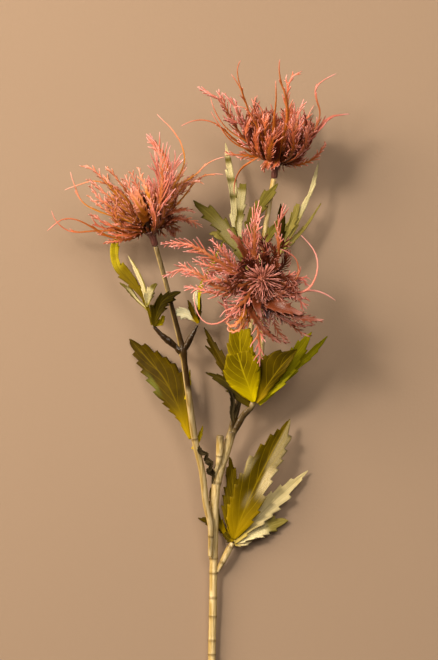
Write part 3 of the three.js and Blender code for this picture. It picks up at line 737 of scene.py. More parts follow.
def growRib(bm, layers, frames, look, tone, hue):
    # A tapering strip along the route. Returns its side edges, where the fingers stand.
    steps = len(frames) - 1
    broad = look["half"] >= ribLook["broadFrom"]
    edges = corners = None
    pairs = []
    for k, (spot, _, across, up) in enumerate(frames):
        share = k / steps
        half = mix(look["half"], tipHalf, share ** look.get("taper", ribLook["taper"])) * millimetre
        half *= ribLook["footWidth"] + (1 - ribLook["footWidth"]) * smoothStep(0, 0.15, share)
        places = [spot - across * half, spot + across * half]
        if broad:
            crinkle = ribLook["crinkle"] * half * smoothStep(0.15, 0.4, share)
            places = [rim + noise.noise_vector(rim * 420) * crinkle for rim in places]
            places.insert(1, spot - up * half * ribLook["cup"])
        if k == 0:
            corners = [bm.verts.new(corner) for corner in places]
            edges = [bm.edges.new(pair) for pair in zip(corners, corners[1:])]
        else:
            old = corners
            edges, corners = pushRow(bm, edges, corners, places)
            pairs.append((share, old[0], corners[0], old[-1], corners[-1], across, up))
        pale = 0.9 * smoothStep(look.get("paleFrom", ribLook["paleFrom"]), 1, share)
        for j, corner in enumerate(corners):
            rim = look.get("rim", ribLook["rim"]) * smoothStep(0.1, 0.4, share) if broad and j != 1 else 0
            corner[layers["along"]] = share
            corner[layers["out"]] = max(rim, pale)
            corner[layers["tone"]] = tone
            corner[layers["hue"]] = hue
    return pairs


def growFrond(path, look, facing, rng, tone):
    # A rib along the path with fingers down both sides.
    bm, layers = newBmesh(frondLayers)
    hue = rng.uniform(0, 0.75)
    steps = max(9, look["fingers"] * 2)
    pairs = growRib(bm, layers, routeFrames(smoothRoute(path, steps), facing), look, tone, hue)
    low, high = look["span"]
    vary = look.get("vary", ribLook["vary"])
    for k, (share, oldLeft, newLeft, oldRight, newRight, across, up) in enumerate(pairs):
        if not low <= share <= high or look["fingers"] == 0:
            continue
        along = (newLeft.co - oldLeft.co + newRight.co - oldRight.co).normalized()
        inSpan = (share - low) / (high - low)
        swell = math.sin(math.pi * mix(0.2, 0.88, inSpan)) ** 0.8
        # The two sides take turns, so no finger stands straight across from another.
        back, ahead, side = (oldLeft, newLeft, -across) if k % 2 else (oldRight, newRight, across)
        length = look["length"] * swell * rng.uniform(0.5, 1.25)
        if length < fingerLook["shortest"] or rng.random() < look["skip"]:
            continue
        finger = {
            "length": length,
            "sweep": look["sweep"] * (1 + vary * rng.uniform(-1, 1)),
            "half": fingerLook["half"] + fingerLook["halfPerLength"] * length,
            "bend": 0.05 + vary * rng.uniform(-0.25, 0.35),
            "lift": rng.uniform(-0.1, 0.22),
            "fork": length > fingerLook["forkFrom"] and rng.random() < look["forks"],
            "along": share,
            "outFrom": fingerLook["outFrom"],
            # painted shade, deepened at random from finger to finger
            "tone": min(1, tone + 0.6 * rng.random() ** 2.5),
            "hue": max(0, min(1, hue + rng.uniform(-0.25, 0.25))),
        }
        growFinger(bm, layers, back, ahead, along, side, up, finger)
    for corner in bm.verts:
        shift = noise.noise_vector(corner.co * 230)
        corner.co += shift * ribLook["wander"] * corner[layers["along"]]
        corner.co.z = max(corner.co.z, lowestPoint)
    bmesh.ops.recalc_face_normals(bm, faces=bm.faces)
    return bm


def turnedPath(head, path, angle, shrink, droop, curl=(0, 0, 0)):
    # The same route turned round the head's axis, shortened, opened or closed, and curled.
    axis, at = head["axis"], head["at"]
    turned = []
    for k, point in enumerate(path):
        share = (k + 1) / len(path)
        turn = math.radians(angle * mix(0.6, 1.3, share))
        arm = Vector(point) - at
        rise = arm.dot(axis)
        out = arm - axis * rise
        out = out * math.cos(turn) + axis.cross(out) * math.sin(turn)
        bent = Vector(curl) * share * share
        turned.append(at + out * shrink * (1 - droop) + axis * rise * shrink * (1 + droop) + bent)
    return turned


def addBract(head, name, bract):
    # One bract, with the smaller fronds that stand behind and beside it.
    rng = random.Random(f"{head['name']} {name}")
    foot = onHead(head, bract["angle"], ringRadius, seatGap)
    knee = onHead(head, bract["angle"], ringRadius + head["kneeOut"], seatGap + head["kneeUp"])
    facing = bractFacing(head, bract.get("turnUp", head["turnUp"]))
    whole, _ = newBmesh(frondLayers)
    for look in bract["fronds"]:
        start = [] if look.get("free") else [foot, knee]
        path = [place(point) for point in [*start, *look["path"]]]
        appendMesh(whole, growFrond(path, look, facing, rng, look.get("tone", 0)))
    for k in range(bract.get("fillers", 3)):
        source = bract["fronds"][k % len(bract["fronds"])]
        angle = (-1) ** k * rng.uniform(7, 16)
        shrink = rng.uniform(0.5, 0.78)
        curl = [rng.uniform(-5, 5) for _ in range(3)]
        route = turnedPath(head, source["path"], angle, shrink, rng.uniform(0.0, 0.2), curl)
        start = turnedPath(head, [foot, knee], angle * 0.5, 1, 0)
        look = {**frondLooks[rng.choice(["plume", "feather", "whisker"])], "length": 7}
        path = [place(point) for point in [*start, *route]]
        # the fillers behind get some painted shade
        appendMesh(whole, growFrond(path, look, facing, rng, rng.uniform(0.1, 0.45)))
    node = f"{head['name']}_head_{name}"
    replaced = None if bract.get("loose") else node
    addPiece(f"{node}_frond", whole, [bract.get("look", head["look"])], replaced,
             thickness=0.65)


def addRing(head, ring):
    # A loose ring of unnamed bracts that follow one profile, given as (radius, height).
    rng = random.Random(f"{head['name']} {ring['name']}")
    facing = bractFacing(head, ring.get("turnUp", 0.3))
    whole, _ = newBmesh(frondLayers)
    for k in range(ring["count"]):
        angle = 360 * (k + rng.uniform(-0.4, 0.4)) / ring["count"]
        if head["gap"][0] < angle < head["gap"][1]:
            continue
        size = rng.uniform(*ring["size"])
        lean = rng.uniform(-ring["swirl"], ring["swirl"])
        path = []
        for j, (radius, height) in enumerate(ring["profile"]):
            grow = 1 if j < 2 else size  # the foot keeps its place
            turn = angle + lean * j * j / len(ring["profile"])
            path.append(place(onHead(head, turn, radius * grow, height * grow)))
        look = {**frondLooks[rng.choice(ring["kinds"])], **ring.get("shape", {})}
        appendMesh(whole, growFrond(path, look, facing, rng, rng.uniform(*ring["tone"])))
    addPiece(f"{head['name']}_head_{ring['name']}", whole, [ring["look"]], thickness=0.75)


def frond(kind, path, **changes):
    # One frond of a bract. Its shade depth darkens it as painted shade, and a free one doesn't start at the
    # bract's foot.
    return {**frondLooks[kind], "path": path, **changes}


# angle is where the bract stands on its head's ring, and fillers how many small fronds it gets besides.
leftBracts = {
    "right_bract": {"angle": 3, "fillers": 2, "fronds": [
        frond("whisker", [(-30, 77, 37), (-26, 86, 39), (-15, 92, 41), (-6.5, 99.8, 42), (3.2, 104, 43)],
            half=1.1),
        frond("whisker", [(-28, 73, 36), (-21.7, 79, 36), (-16.6, 86.4, 36), (-10.7, 92, 36),
            (-4, 93.8, 36), (3.2, 93.5, 36)], half=1.0, span=(0.3, 0.97), length=3)]},
    "brown_bract": {"angle": 36, "look": "mauve", "slot": "brown_bract", "fillers": 1, "fronds": [
        frond("broad", [(-35, 66, 43), (-29, 70, 46.5), (-21.5, 72, 47.5), (-14, 70.5, 46)], length=3.5),
        frond("broad", [(-34, 62, 40), (-28, 66.5, 44), (-20, 66, 44.5), (-15, 61, 42)], length=3,
            tone=0.3),
        frond("blade", [(-41.5, 62, 40), (-42, 69, 47), (-43.5, 75, 50), (-45.5, 83, 50)], half=3.0,
            fingers=0, free=True, tone=0.8, taper=4)]},
    "arched_bract": {"angle": 68, "fillers": 1, "fronds": [
        frond("fan", [(-31, 78, 44.5), (-26, 88, 47), (-21.5, 97, 48), (-20.6, 104, 48), (-25, 115.8, 47),
            (-37, 129, 46)], length=13, span=(0.22, 0.55)),
        frond("comb", [(-33, 70, 44), (-27, 79, 46), (-22, 88, 46)])]},
    "upright_bract": {"angle": 101, "look": "pink", "turnUp": 2, "fillers": 1, "fronds": [
        frond("fan", [(-36.5, 72, 51), (-34, 86, 55.5), (-34.3, 99, 56), (-37, 110, 55), (-43, 116.5, 54)],
            length=21, fingers=16, forks=0.5),
        frond("fan", [(-34, 76, 49), (-30.5, 88, 52), (-26, 99, 53), (-21.5, 106, 52)], length=14),
        frond("blade", [(-38.2, 57.5, 41), (-38.4, 63, 50), (-39.4, 70, 54), (-41.2, 78.5, 54)], half=2.7,
            fingers=0, free=True, taper=3, tone=0.3)]},
    "strap_bract": {"angle": 134, "turnUp": 2, "fillers": 0, "fronds": [
        frond("feather", [(-46, 70, 46), (-51, 81, 49), (-56.5, 93, 49)], length=6, tone=0.2),
        frond("comb", [(-44, 72, 45), (-48, 83, 48), (-52.5, 94, 49)], length=6, tone=0.3),
        frond("blade", [(-43, 64, 47), (-46, 71, 51), (-48.5, 79, 52), (-51, 86, 51)], half=3.2, fingers=5,
            tone=0.3, taper=4, free=True),
        frond("comb", [(-40, 72, 50), (-43.5, 84, 54), (-48.5, 97.5, 54)], half=1.6, length=5),
        frond("broad", [(-43, 68, 50), (-47, 73, 53), (-51, 79, 53), (-53, 85, 51)], length=2, tone=0.15,
            free=True)]},
    "left_bract": {"angle": 166, "fillers": 2, "fronds": [
        frond("comb", [(-51, 70, 42), (-61, 80.5, 45), (-70, 91, 46), (-76, 96.4, 46), (-81.5, 98, 45)],
            length=6),
        frond("whisker", [(-52, 74, 41), (-62, 85, 41), (-73, 89.5, 40), (-80, 88.4, 39), (-93, 83.5, 37)]),
        frond("comb", [(-48, 72, 45), (-56, 84, 48), (-64, 94, 48), (-68, 98, 47)], length=6),
        frond("comb", [(-47, 70, 47), (-53, 81, 50), (-58, 90, 50)], length=5),
        frond("comb", [(-50, 67, 45), (-61, 76, 48), (-71, 84, 48), (-78, 90, 47)], length=6)]},
    "curled_bract": {"angle": 199, "fillers": 2, "fronds": [
        frond("whisker", [(-52, 65, 37), (-63, 68, 38), (-75, 72, 37), (-82, 76, 36), (-86, 84, 35),
            (-89, 95.6, 35)]),
        frond("comb", [(-52, 66, 42), (-63, 72, 45), (-72, 79, 45), (-77, 86, 44)], length=6),
        frond("comb", [(-51, 64, 44), (-61, 68, 47), (-70, 73, 47), (-78, 80, 45)], length=5)]},
    "looped_bract": {"angle": 232, "look": "rust", "fillers": 2, "fronds": [
        frond("whisker", [(-50, 57, 27), (-60, 55, 26), (-68, 57, 26), (-76, 61.5, 27), (-84, 66, 28),
            (-91, 67.5, 28), (-98, 65, 28), (-104.2, 59, 28)], half=1.2),
        frond("whisker", [(-52, 59, 26), (-66, 60, 24), (-77, 59.5, 22), (-86, 58.8, 21), (-93.5, 60.6, 20),
            (-98, 65.4, 20), (-101.5, 72.8, 20)], half=1.0),
        frond("comb", [(-49, 60, 40), (-59, 61, 43), (-69, 64, 43), (-76, 69, 42)], length=6),
        frond("broad", [(-50, 58, 34), (-58, 57, 37), (-67, 57.5, 37)], length=4),
        frond("broad", [(-48, 62, 41), (-55, 63, 44), (-63, 63, 44)], length=4),
        frond("comb", [(-50, 56, 30), (-59, 53.6, 31), (-68.5, 52.8, 31)])]},
    "back_left_bract": {"angle": 262, "look": "orange", "fillers": 3, "fronds": [
        frond("feather", [(-50, 66, 20), (-58, 75, 10), (-64, 84, 2.4), (-70, 94, 1.0)])]},
    "back_right_bract": {"angle": 297, "look": "orange", "fillers": 3, "fronds": [
        frond("feather", [(-40, 70, 20), (-36, 81, 10), (-33, 91, 2.4), (-31, 101, 1.0)])]},
    "low_bract": {"angle": 330, "look": "orange", "fillers": 2, "fronds": [
        frond("feather", [(-30, 63, 31), (-24, 67, 31), (-17.6, 66, 30), (-9.8, 61.8, 28)], length=5),
        frond("broad", [(-33, 63, 36), (-27, 66, 38), (-20, 68, 38)], length=4)]},
}

topBracts = {
    "right_bract": {"angle": 8, "look": "pink", "fillers": 3, "fronds": [
        frond("broad", [(46, 108, 39), (54, 114, 41), (60, 121, 42), (66, 127, 42), (71.6, 128.8, 42),
            (78.5, 129.4, 41)], fingers=10, length=8, span=(0.2, 0.75), tone=0.4),
        frond("whisker", [(48, 112, 42), (57, 119, 44), (60.7, 129.4, 46), (57.4, 139, 47), (58, 146, 47),
            (64, 150, 47), (70.6, 153.5, 47)], half=1.0)]},
    "front_right_bract": {"angle": 40, "look": "pink", "turnUp": 2, "fronds": [
        frond("fan", [(43.5, 112, 46), (46, 121, 49.5), (48, 130, 50.5), (50.5, 138, 50.5)], length=12,
            half=1.5)]},
    "middle_bract": {"angle": 70, "look": "rust", "turnUp": 2, "fillers": 0, "fronds": [
        frond("whisker", [(38, 114, 51), (40.5, 127, 56), (39.5, 139, 57), (36.5, 149, 57), (35.5, 155, 57),
            (36.4, 161.8, 56)], half=1.2, paleFrom=0.85),
        frond("feather", [(38, 114, 51), (41, 127, 55), (40.5, 140, 56), (43, 150, 57), (49.8, 153.6, 56)],
            length=6)]},
    "strap_bract": {"angle": 100, "look": "rust", "turnUp": 2, "fillers": 1, "fronds": [
        frond("whip", [(32, 114, 50), (33, 127, 53), (34.2, 139, 54), (33.8, 149, 53)], half=1.3,
            paleFrom=0.85),
        frond("comb", [(34, 112, 45), (36, 121, 47), (38, 128, 47)], tone=1.0),
        # This blade, at full painted shade, is a dark sheet that paints the hollow at the head's centre.
        frond("blade", [(33, 101, 48), (34, 109, 54), (35.4, 117, 57), (37, 125, 57)], half=2.4, fingers=0,
            free=True, taper=4, tone=1.0, rim=0)]},
    "brown_bract": {"angle": 130, "slot": "brown_bract", "look": "rust", "turnUp": 1.5, "fronds": [
        frond("whisker", [(27, 110, 47), (23.5, 120, 50), (19.3, 128, 50), (14, 133.2, 49), (8.3, 133, 47)],
            half=1.3),
        frond("whip", [(28, 111, 46), (27, 122, 49), (25.5, 132, 50), (22, 136.5, 50), (19, 137, 50)],
            half=0.9),
        frond("feather", [(28, 111, 45), (26, 122, 47), (22, 132, 48)], length=8, tone=0.2)]},
    "tall_left_bract": {"angle": 158, "look": "rust", "fillers": 1, "fronds": [
        frond("whisker", [(24, 110, 42), (20, 123, 44), (16, 136, 45), (13, 145, 45), (11.2, 153, 44),
            (11, 158, 43), (13.1, 162, 43)], half=1.2, paleFrom=0.85),
        frond("whip", [(24, 111, 42), (20, 124, 44), (15.5, 138, 45), (12.6, 145.2, 45), (9.7, 150, 44),
            (6.5, 154, 43)], half=0.9, paleFrom=0.85)]},
    "left_bract": {"angle": 186, "look": "pink", "fillers": 3, "fronds": [
        frond("plume", [(21, 108, 37), (11, 120, 38), (5.5, 130, 39), (0, 138.5, 39), (-7, 142, 38.5),
            (-13.7, 146, 38)]),
        frond("feather", [(22, 110, 40), (14, 124, 42), (9, 135, 42), (1.4, 142.5, 41)], length=7)]},
    "whisker_bract": {"angle": 214, "look": "rust", "fillers": 0, "fronds": [
        frond("whisker", [(20, 106, 33), (7, 116.4, 34), (-2.8, 124.5, 34), (-13, 126.3, 33),
            (-23.4, 122.5, 32)], half=1.1),
        frond("whip", [(24, 109, 40), (15, 114, 41), (6.5, 118.5, 41), (0.7, 125.3, 40), (-3.8, 133.6, 39),
            (-5.2, 140.1, 39)], half=1.0),
        frond("whip", [(23, 107, 34), (9.7, 111.5, 35), (2, 120, 35), (-5.2, 132, 34)], half=1.0)]},
    "hooked_bract": {"angle": 240, "slot": "brown_bract", "look": "rust", "fillers": 0, "fronds": [
        frond("whip", [(37, 107, 42), (28, 105.5, 41), (18, 100.5, 36), (11.7, 95, 32), (9.3, 88, 29),
            (9, 81, 27)], half=1.1, free=True),
        frond("feather", [(25, 104, 28), (17, 105, 28), (9, 105.5, 28), (3.1, 107.4, 28)], length=5),
        frond("broad", [(34, 104, 41), (30, 101, 43), (27.5, 97, 42.5), (26, 94.5, 41)], free=True,
            length=3),
        frond("broad", [(35, 103, 41), (33.5, 99, 43), (31.5, 95.5, 42)], free=True, length=2.5)]},
    "back_left_bract": {"angle": 268, "look": "rust", "fillers": 3, "fronds": [
        frond("feather", [(30, 111, 22), (26, 121, 11), (23, 131, 2.4), (20, 141, 1.0)])]},
    "back_right_bract": {"angle": 300, "look": "rust", "fillers": 3, "fronds": [
        frond("feather", [(41, 110, 23), (47, 119, 12), (53, 128, 2.4), (58, 137, 1.0)])]},
    "low_bract": {"angle": 336, "look": "rust", "fillers": 1, "fronds": [
        frond("comb", [(45, 99, 34), (55, 101.5, 35), (61, 107, 35), (64.2, 113, 34)], length=5)]},
}

frontBracts = {
    "low_right_bract": {"angle": 20, "look": "mauve", "slot": "brown_bract", "fillers": 1, "fronds": [
        frond("blade", [(30, 18, 70), (35.5, 14, 75.5), (42, 12, 77), (50, 9.5, 75.5)], half=4.6, fingers=9,
            length=3, taper=3, tone=0.15),
        frond("broad", [(33, 16, 69), (42, 10, 74), (52, 6.5, 75), (62.5, 6, 73.5)], half=3.0, fingers=15,
            length=3.5, taper=2.4, tone=0.2),
        frond("broad", [(32, 14, 68), (39, 6.5, 72), (49, 2.5, 73), (57, 3.5, 72)], half=2.4, fingers=12,
            length=3, tone=0.5),
        frond("comb", [(34, 12, 67), (44, 2, 68), (53.8, -4.3, 67)], length=5)]},
    "right_bract": {"angle": 348, "look": "pink", "fillers": 2, "fronds": [
        frond("whip", [(40, 24, 70), (47, 21.5, 72), (54, 24.5, 75), (58, 32.8, 76), (58.8, 40.3, 77),
            (55.4, 48.7, 77), (47.8, 56.3, 77)], half=1.2, paleFrom=-0.2),
        frond("whip", [(38, 19, 69), (47, 22, 71), (54, 23.8, 71), (62, 21.8, 71), (69.7, 17.2, 69)],
            half=1.2, paleFrom=-0.2),
        frond("antler", [(40, 30, 69), (47, 31, 71), (53, 28, 71)], tone=0.4),
        frond("broad", [(34, 22, 67), (41, 20.5, 70.5), (47, 17.5, 71)], half=2.6, length=4, tone=0.8),
        frond("feather", [(36, 27, 67), (43, 27, 70), (50, 30, 70)], length=5, tone=0.7)]},
    "upper_right_bract": {"angle": 305, "look": "pink", "fillers": 1, "fronds": [
        frond("fan", [(35, 42, 69), (35, 52, 72), (35.3, 62, 72), (39.8, 74.8, 70)], fingers=9, length=9,
            sweep=18, span=(0.45, 0.92), tone=0.2)]},
    "upright_bract": {"angle": 260, "look": "pink", "fillers": 1, "fronds": [
        frond("fan", [(21.5, 42, 70), (21, 53, 74), (21.3, 65, 74), (23.8, 77, 71)], fingers=11, length=12,
            sweep=17, span=(0.3, 0.9), half=1.2),
        frond("fan", [(19, 42, 68), (16.5, 52, 71), (15.5, 60, 71)], fingers=7, length=9, sweep=14,
            tone=0.3)]},
    "strap_bract": {"angle": 227, "look": "mauve", "fillers": 1, "fronds": [
        frond("blade", [(17, 42, 70), (11.6, 52, 74), (4.5, 59.7, 72)], half=2.1, fingers=4, taper=3)]},
    "long_left_bract": {"angle": 197, "look": "pink", "fillers": 2, "fronds": [
        frond("plume", [(8, 35.5, 70), (-3.5, 42.8, 73), (-12, 47.9, 73), (-23, 51.3, 71),
            (-34.7, 50.9, 67)], half=1.6, length=9),
        frond("plume", [(9, 32, 68), (0, 36, 71.5), (-8, 38.5, 72), (-16, 42.5, 71)], fingers=14, length=7,
            tone=0.15),
        frond("comb", [(9, 37, 70), (2, 46, 74), (-4.8, 53.4, 75)], length=4)]},
    "left_bract": {"angle": 166, "look": "pink", "fillers": 1, "fronds": [
        frond("plume", [(10, 24, 69), (-1, 25.5, 72), (-9, 31, 72.5), (-17, 35.2, 71), (-25, 35.3, 69),
            (-33.4, 31.1, 67)], half=1.6, length=8),
        frond("plume", [(10, 22, 67), (-3, 21.5, 67), (-12, 24.5, 66), (-21, 25.2, 64)], fingers=14,
            length=6),
        frond("antler", [(11, 26, 71), (1, 29.5, 75), (-6, 29, 75.5), (-12, 26, 74)], length=6)]},
    "looped_bract": {"angle": 138, "look": "pink", "fillers": 1, "fronds": [
        frond("whip", [(14, 17, 67), (6, 8, 68), (-0.5, 3.2, 68), (-6, 2.5, 67), (-11, 5.8, 66),
            (-13.6, 12.5, 66), (-15.5, 18, 65.5), (-15, 23, 65.5)], half=0.9, paleFrom=-0.2),
        frond("fan", [(15, 17, 72), (10, 13.5, 75.5), (4.5, 11.5, 75.5), (0, 7.5, 74)], length=11,
            fingers=8, span=(0.3, 0.8), sweep=34, forks=0.5)]},
    "short_bract": {"angle": 108, "look": "mauve", "slot": "brown_bract", "fillers": 1, "fronds": [
        frond("blade", [(22.5, 19, 71), (23, 13, 76), (25, 7, 77)], half=3.4, fingers=0, taper=4, tone=0.4),
        # This blade, under strong painted shade, is a dark sheet that paints the shade seen through the gap
        # behind.
        frond("blade", [(26, 20, 65), (28.5, 12, 68), (30, 3, 69)], half=4.2, fingers=8, tone=0.9),
        frond("broad", [(18, 15, 69), (21, 7, 73.5), (27.5, -1, 74.5), (36.5, -8.5, 72)], half=2.6,
            fingers=14, length=3, taper=2.4),
        frond("comb", [(24, 14, 68), (27, 4, 72), (33, -5, 72), (41, -8, 70)], fingers=14, length=4,
            tone=0.3)]},
    "bottom_bract": {"angle": 79, "look": "pink", "fillers": 0, "fronds": [
        frond("feather", [(24, 13, 68), (23, 3, 71), (23.8, -9, 70), (24.3, -22, 64)], fingers=10, length=7,
            sweep=34)]},
    "comb_bract": {"angle": 50, "look": "mauve", "fillers": 1, "fronds": [
        frond("comb", [(32, 15, 68), (33, 3, 69.5), (40, -8, 68)], fingers=13, length=6)]},
    "orange_curl": {"angle": 118, "look": "orange", "loose": True, "fillers": 0, "fronds": [
        frond("comb", [(15, 10, 68), (11.5, 4.5, 71), (7.5, 2, 71.5), (4.5, 4, 70), (6, 6.5, 68)], half=1.9,
            length=2.4),
        frond("comb", [(16, 9, 67), (13.5, 2, 69.5), (9.5, -1, 69.5), (5.5, -0.5, 68), (4.5, 2, 66)],
            half=1.9, length=2.4),
        frond("comb", [(18, 11, 66), (17, 5, 68), (13.5, 1, 68.5), (9, 2.5, 67)], half=1.5, length=2.4,
            tone=0.7)]},
}

# Each ring gives its bracts painted shade from a range, stronger for the inner rings and for the low outer
# ring of the front head.
cupRing = {"name": "cup_bracts", "count": 16, "size": (0.8, 1.2), "swirl": 9, "tone": (0.0, 0.4),
           "kinds": ["plume", "feather", "broad"], "shape": {"length": 7},
           "profile": [(3.9, 0.3), (7.5, 1.8), (13, 5), (18, 11), (20.5, 19), (19.5, 26)]}
innerRing = {"name": "inner_bracts", "count": 13, "size": (0.75, 1.25), "swirl": 10, "tone": (0.1, 0.6),
             "kinds": ["comb", "plume", "whisker"], "shape": {"length": 6},
             "profile": [(3.6, 1.5), (6.2, 5), (10, 12), (13, 20), (12, 28)]}
leftRings = [
    {**cupRing, "kinds": ["comb", "comb", "whisker", "broad"], "shape": {"length": 4.5}, "look": "orange"},
    {**innerRing, "count": 10, "kinds": ["comb", "whisker"], "shape": {"length": 4}, "look": "salmon",
     "tone": (0.3, 0.9)},
]
topRings = [{**cupRing, "look": "rust", "count": 20}, {**innerRing, "look": "rust"}]
frontRings = [
    {"name": "inner_bracts", "count": 19, "size": (0.75, 1.25), "swirl": 14, "tone": (0.2, 0.9), "turnUp": 0,
     "kinds": ["antler", "antler", "comb"], "look": "mauve",
     "profile": [(4.2, 1.5), (7.5, 3.5), (12, 7), (16, 10.5), (19, 13)]},
    {"name": "outer_bracts", "count": 12, "size": (0.8, 1.25), "swirl": 12, "tone": (0.5, 1.0), "turnUp": 0,
     "kinds": ["feather", "antler"], "shape": {"length": 7}, "look": "mauve",
     "profile": [(3.9, 0.3), (8, 1.0), (14, 2.0), (19, 4), (24, 4.5)]},
]


def addHead(name, look, cone, bracts, rings):
    head = {**headFrame(name), "look": look}
    addSleeve(head)
    addCone(head, cone)
    for bractName, bract in bracts.items():
        addBract(head, bractName, bract)
    for ring in rings:
        addRing(head, ring)
    print(f"{name} head made")


addHead("left", "salmon", sideCone, leftBracts, leftRings)
addHead("top", "rust", sideCone, topBracts, topRings)
addHead("front", "pink", frontCone, frontBracts, frontRings)


leafLook = {"rows": 64, "columns": 12, "thickness": 0.5, "toothDepth": 2.6, "toothReach": 1.4,
            "fullFrom": 4, "pleats": 3, "pleatDepth": 0.1, "fold": 0.12, "grooveDepth": 0.3,
            "grooveHalf": 0.09, "patchBlur": 0.1}
leafLayers = ["along", "across", "pale"]


def lobe(path, left, right, teeth, **changes):
    # One lobe: its route, its half widths to the left and the right of it, and its number of teeth.
    return {"path": path, "left": left, "right": right, "teeth": teeth, **changes}


def patch(share, across, along, blur=0.08):
    # A pale patch: cloth wear and paler undersides on some lobes, a painted highlight on others, with narrow
    # gaps between patches as painted shadow bands. It lies across -1 to 1 from margin to margin, and along 0
    # to 1 from foot to tip.
    return {"share": share, "across": across, "along": along, "blur": blur}


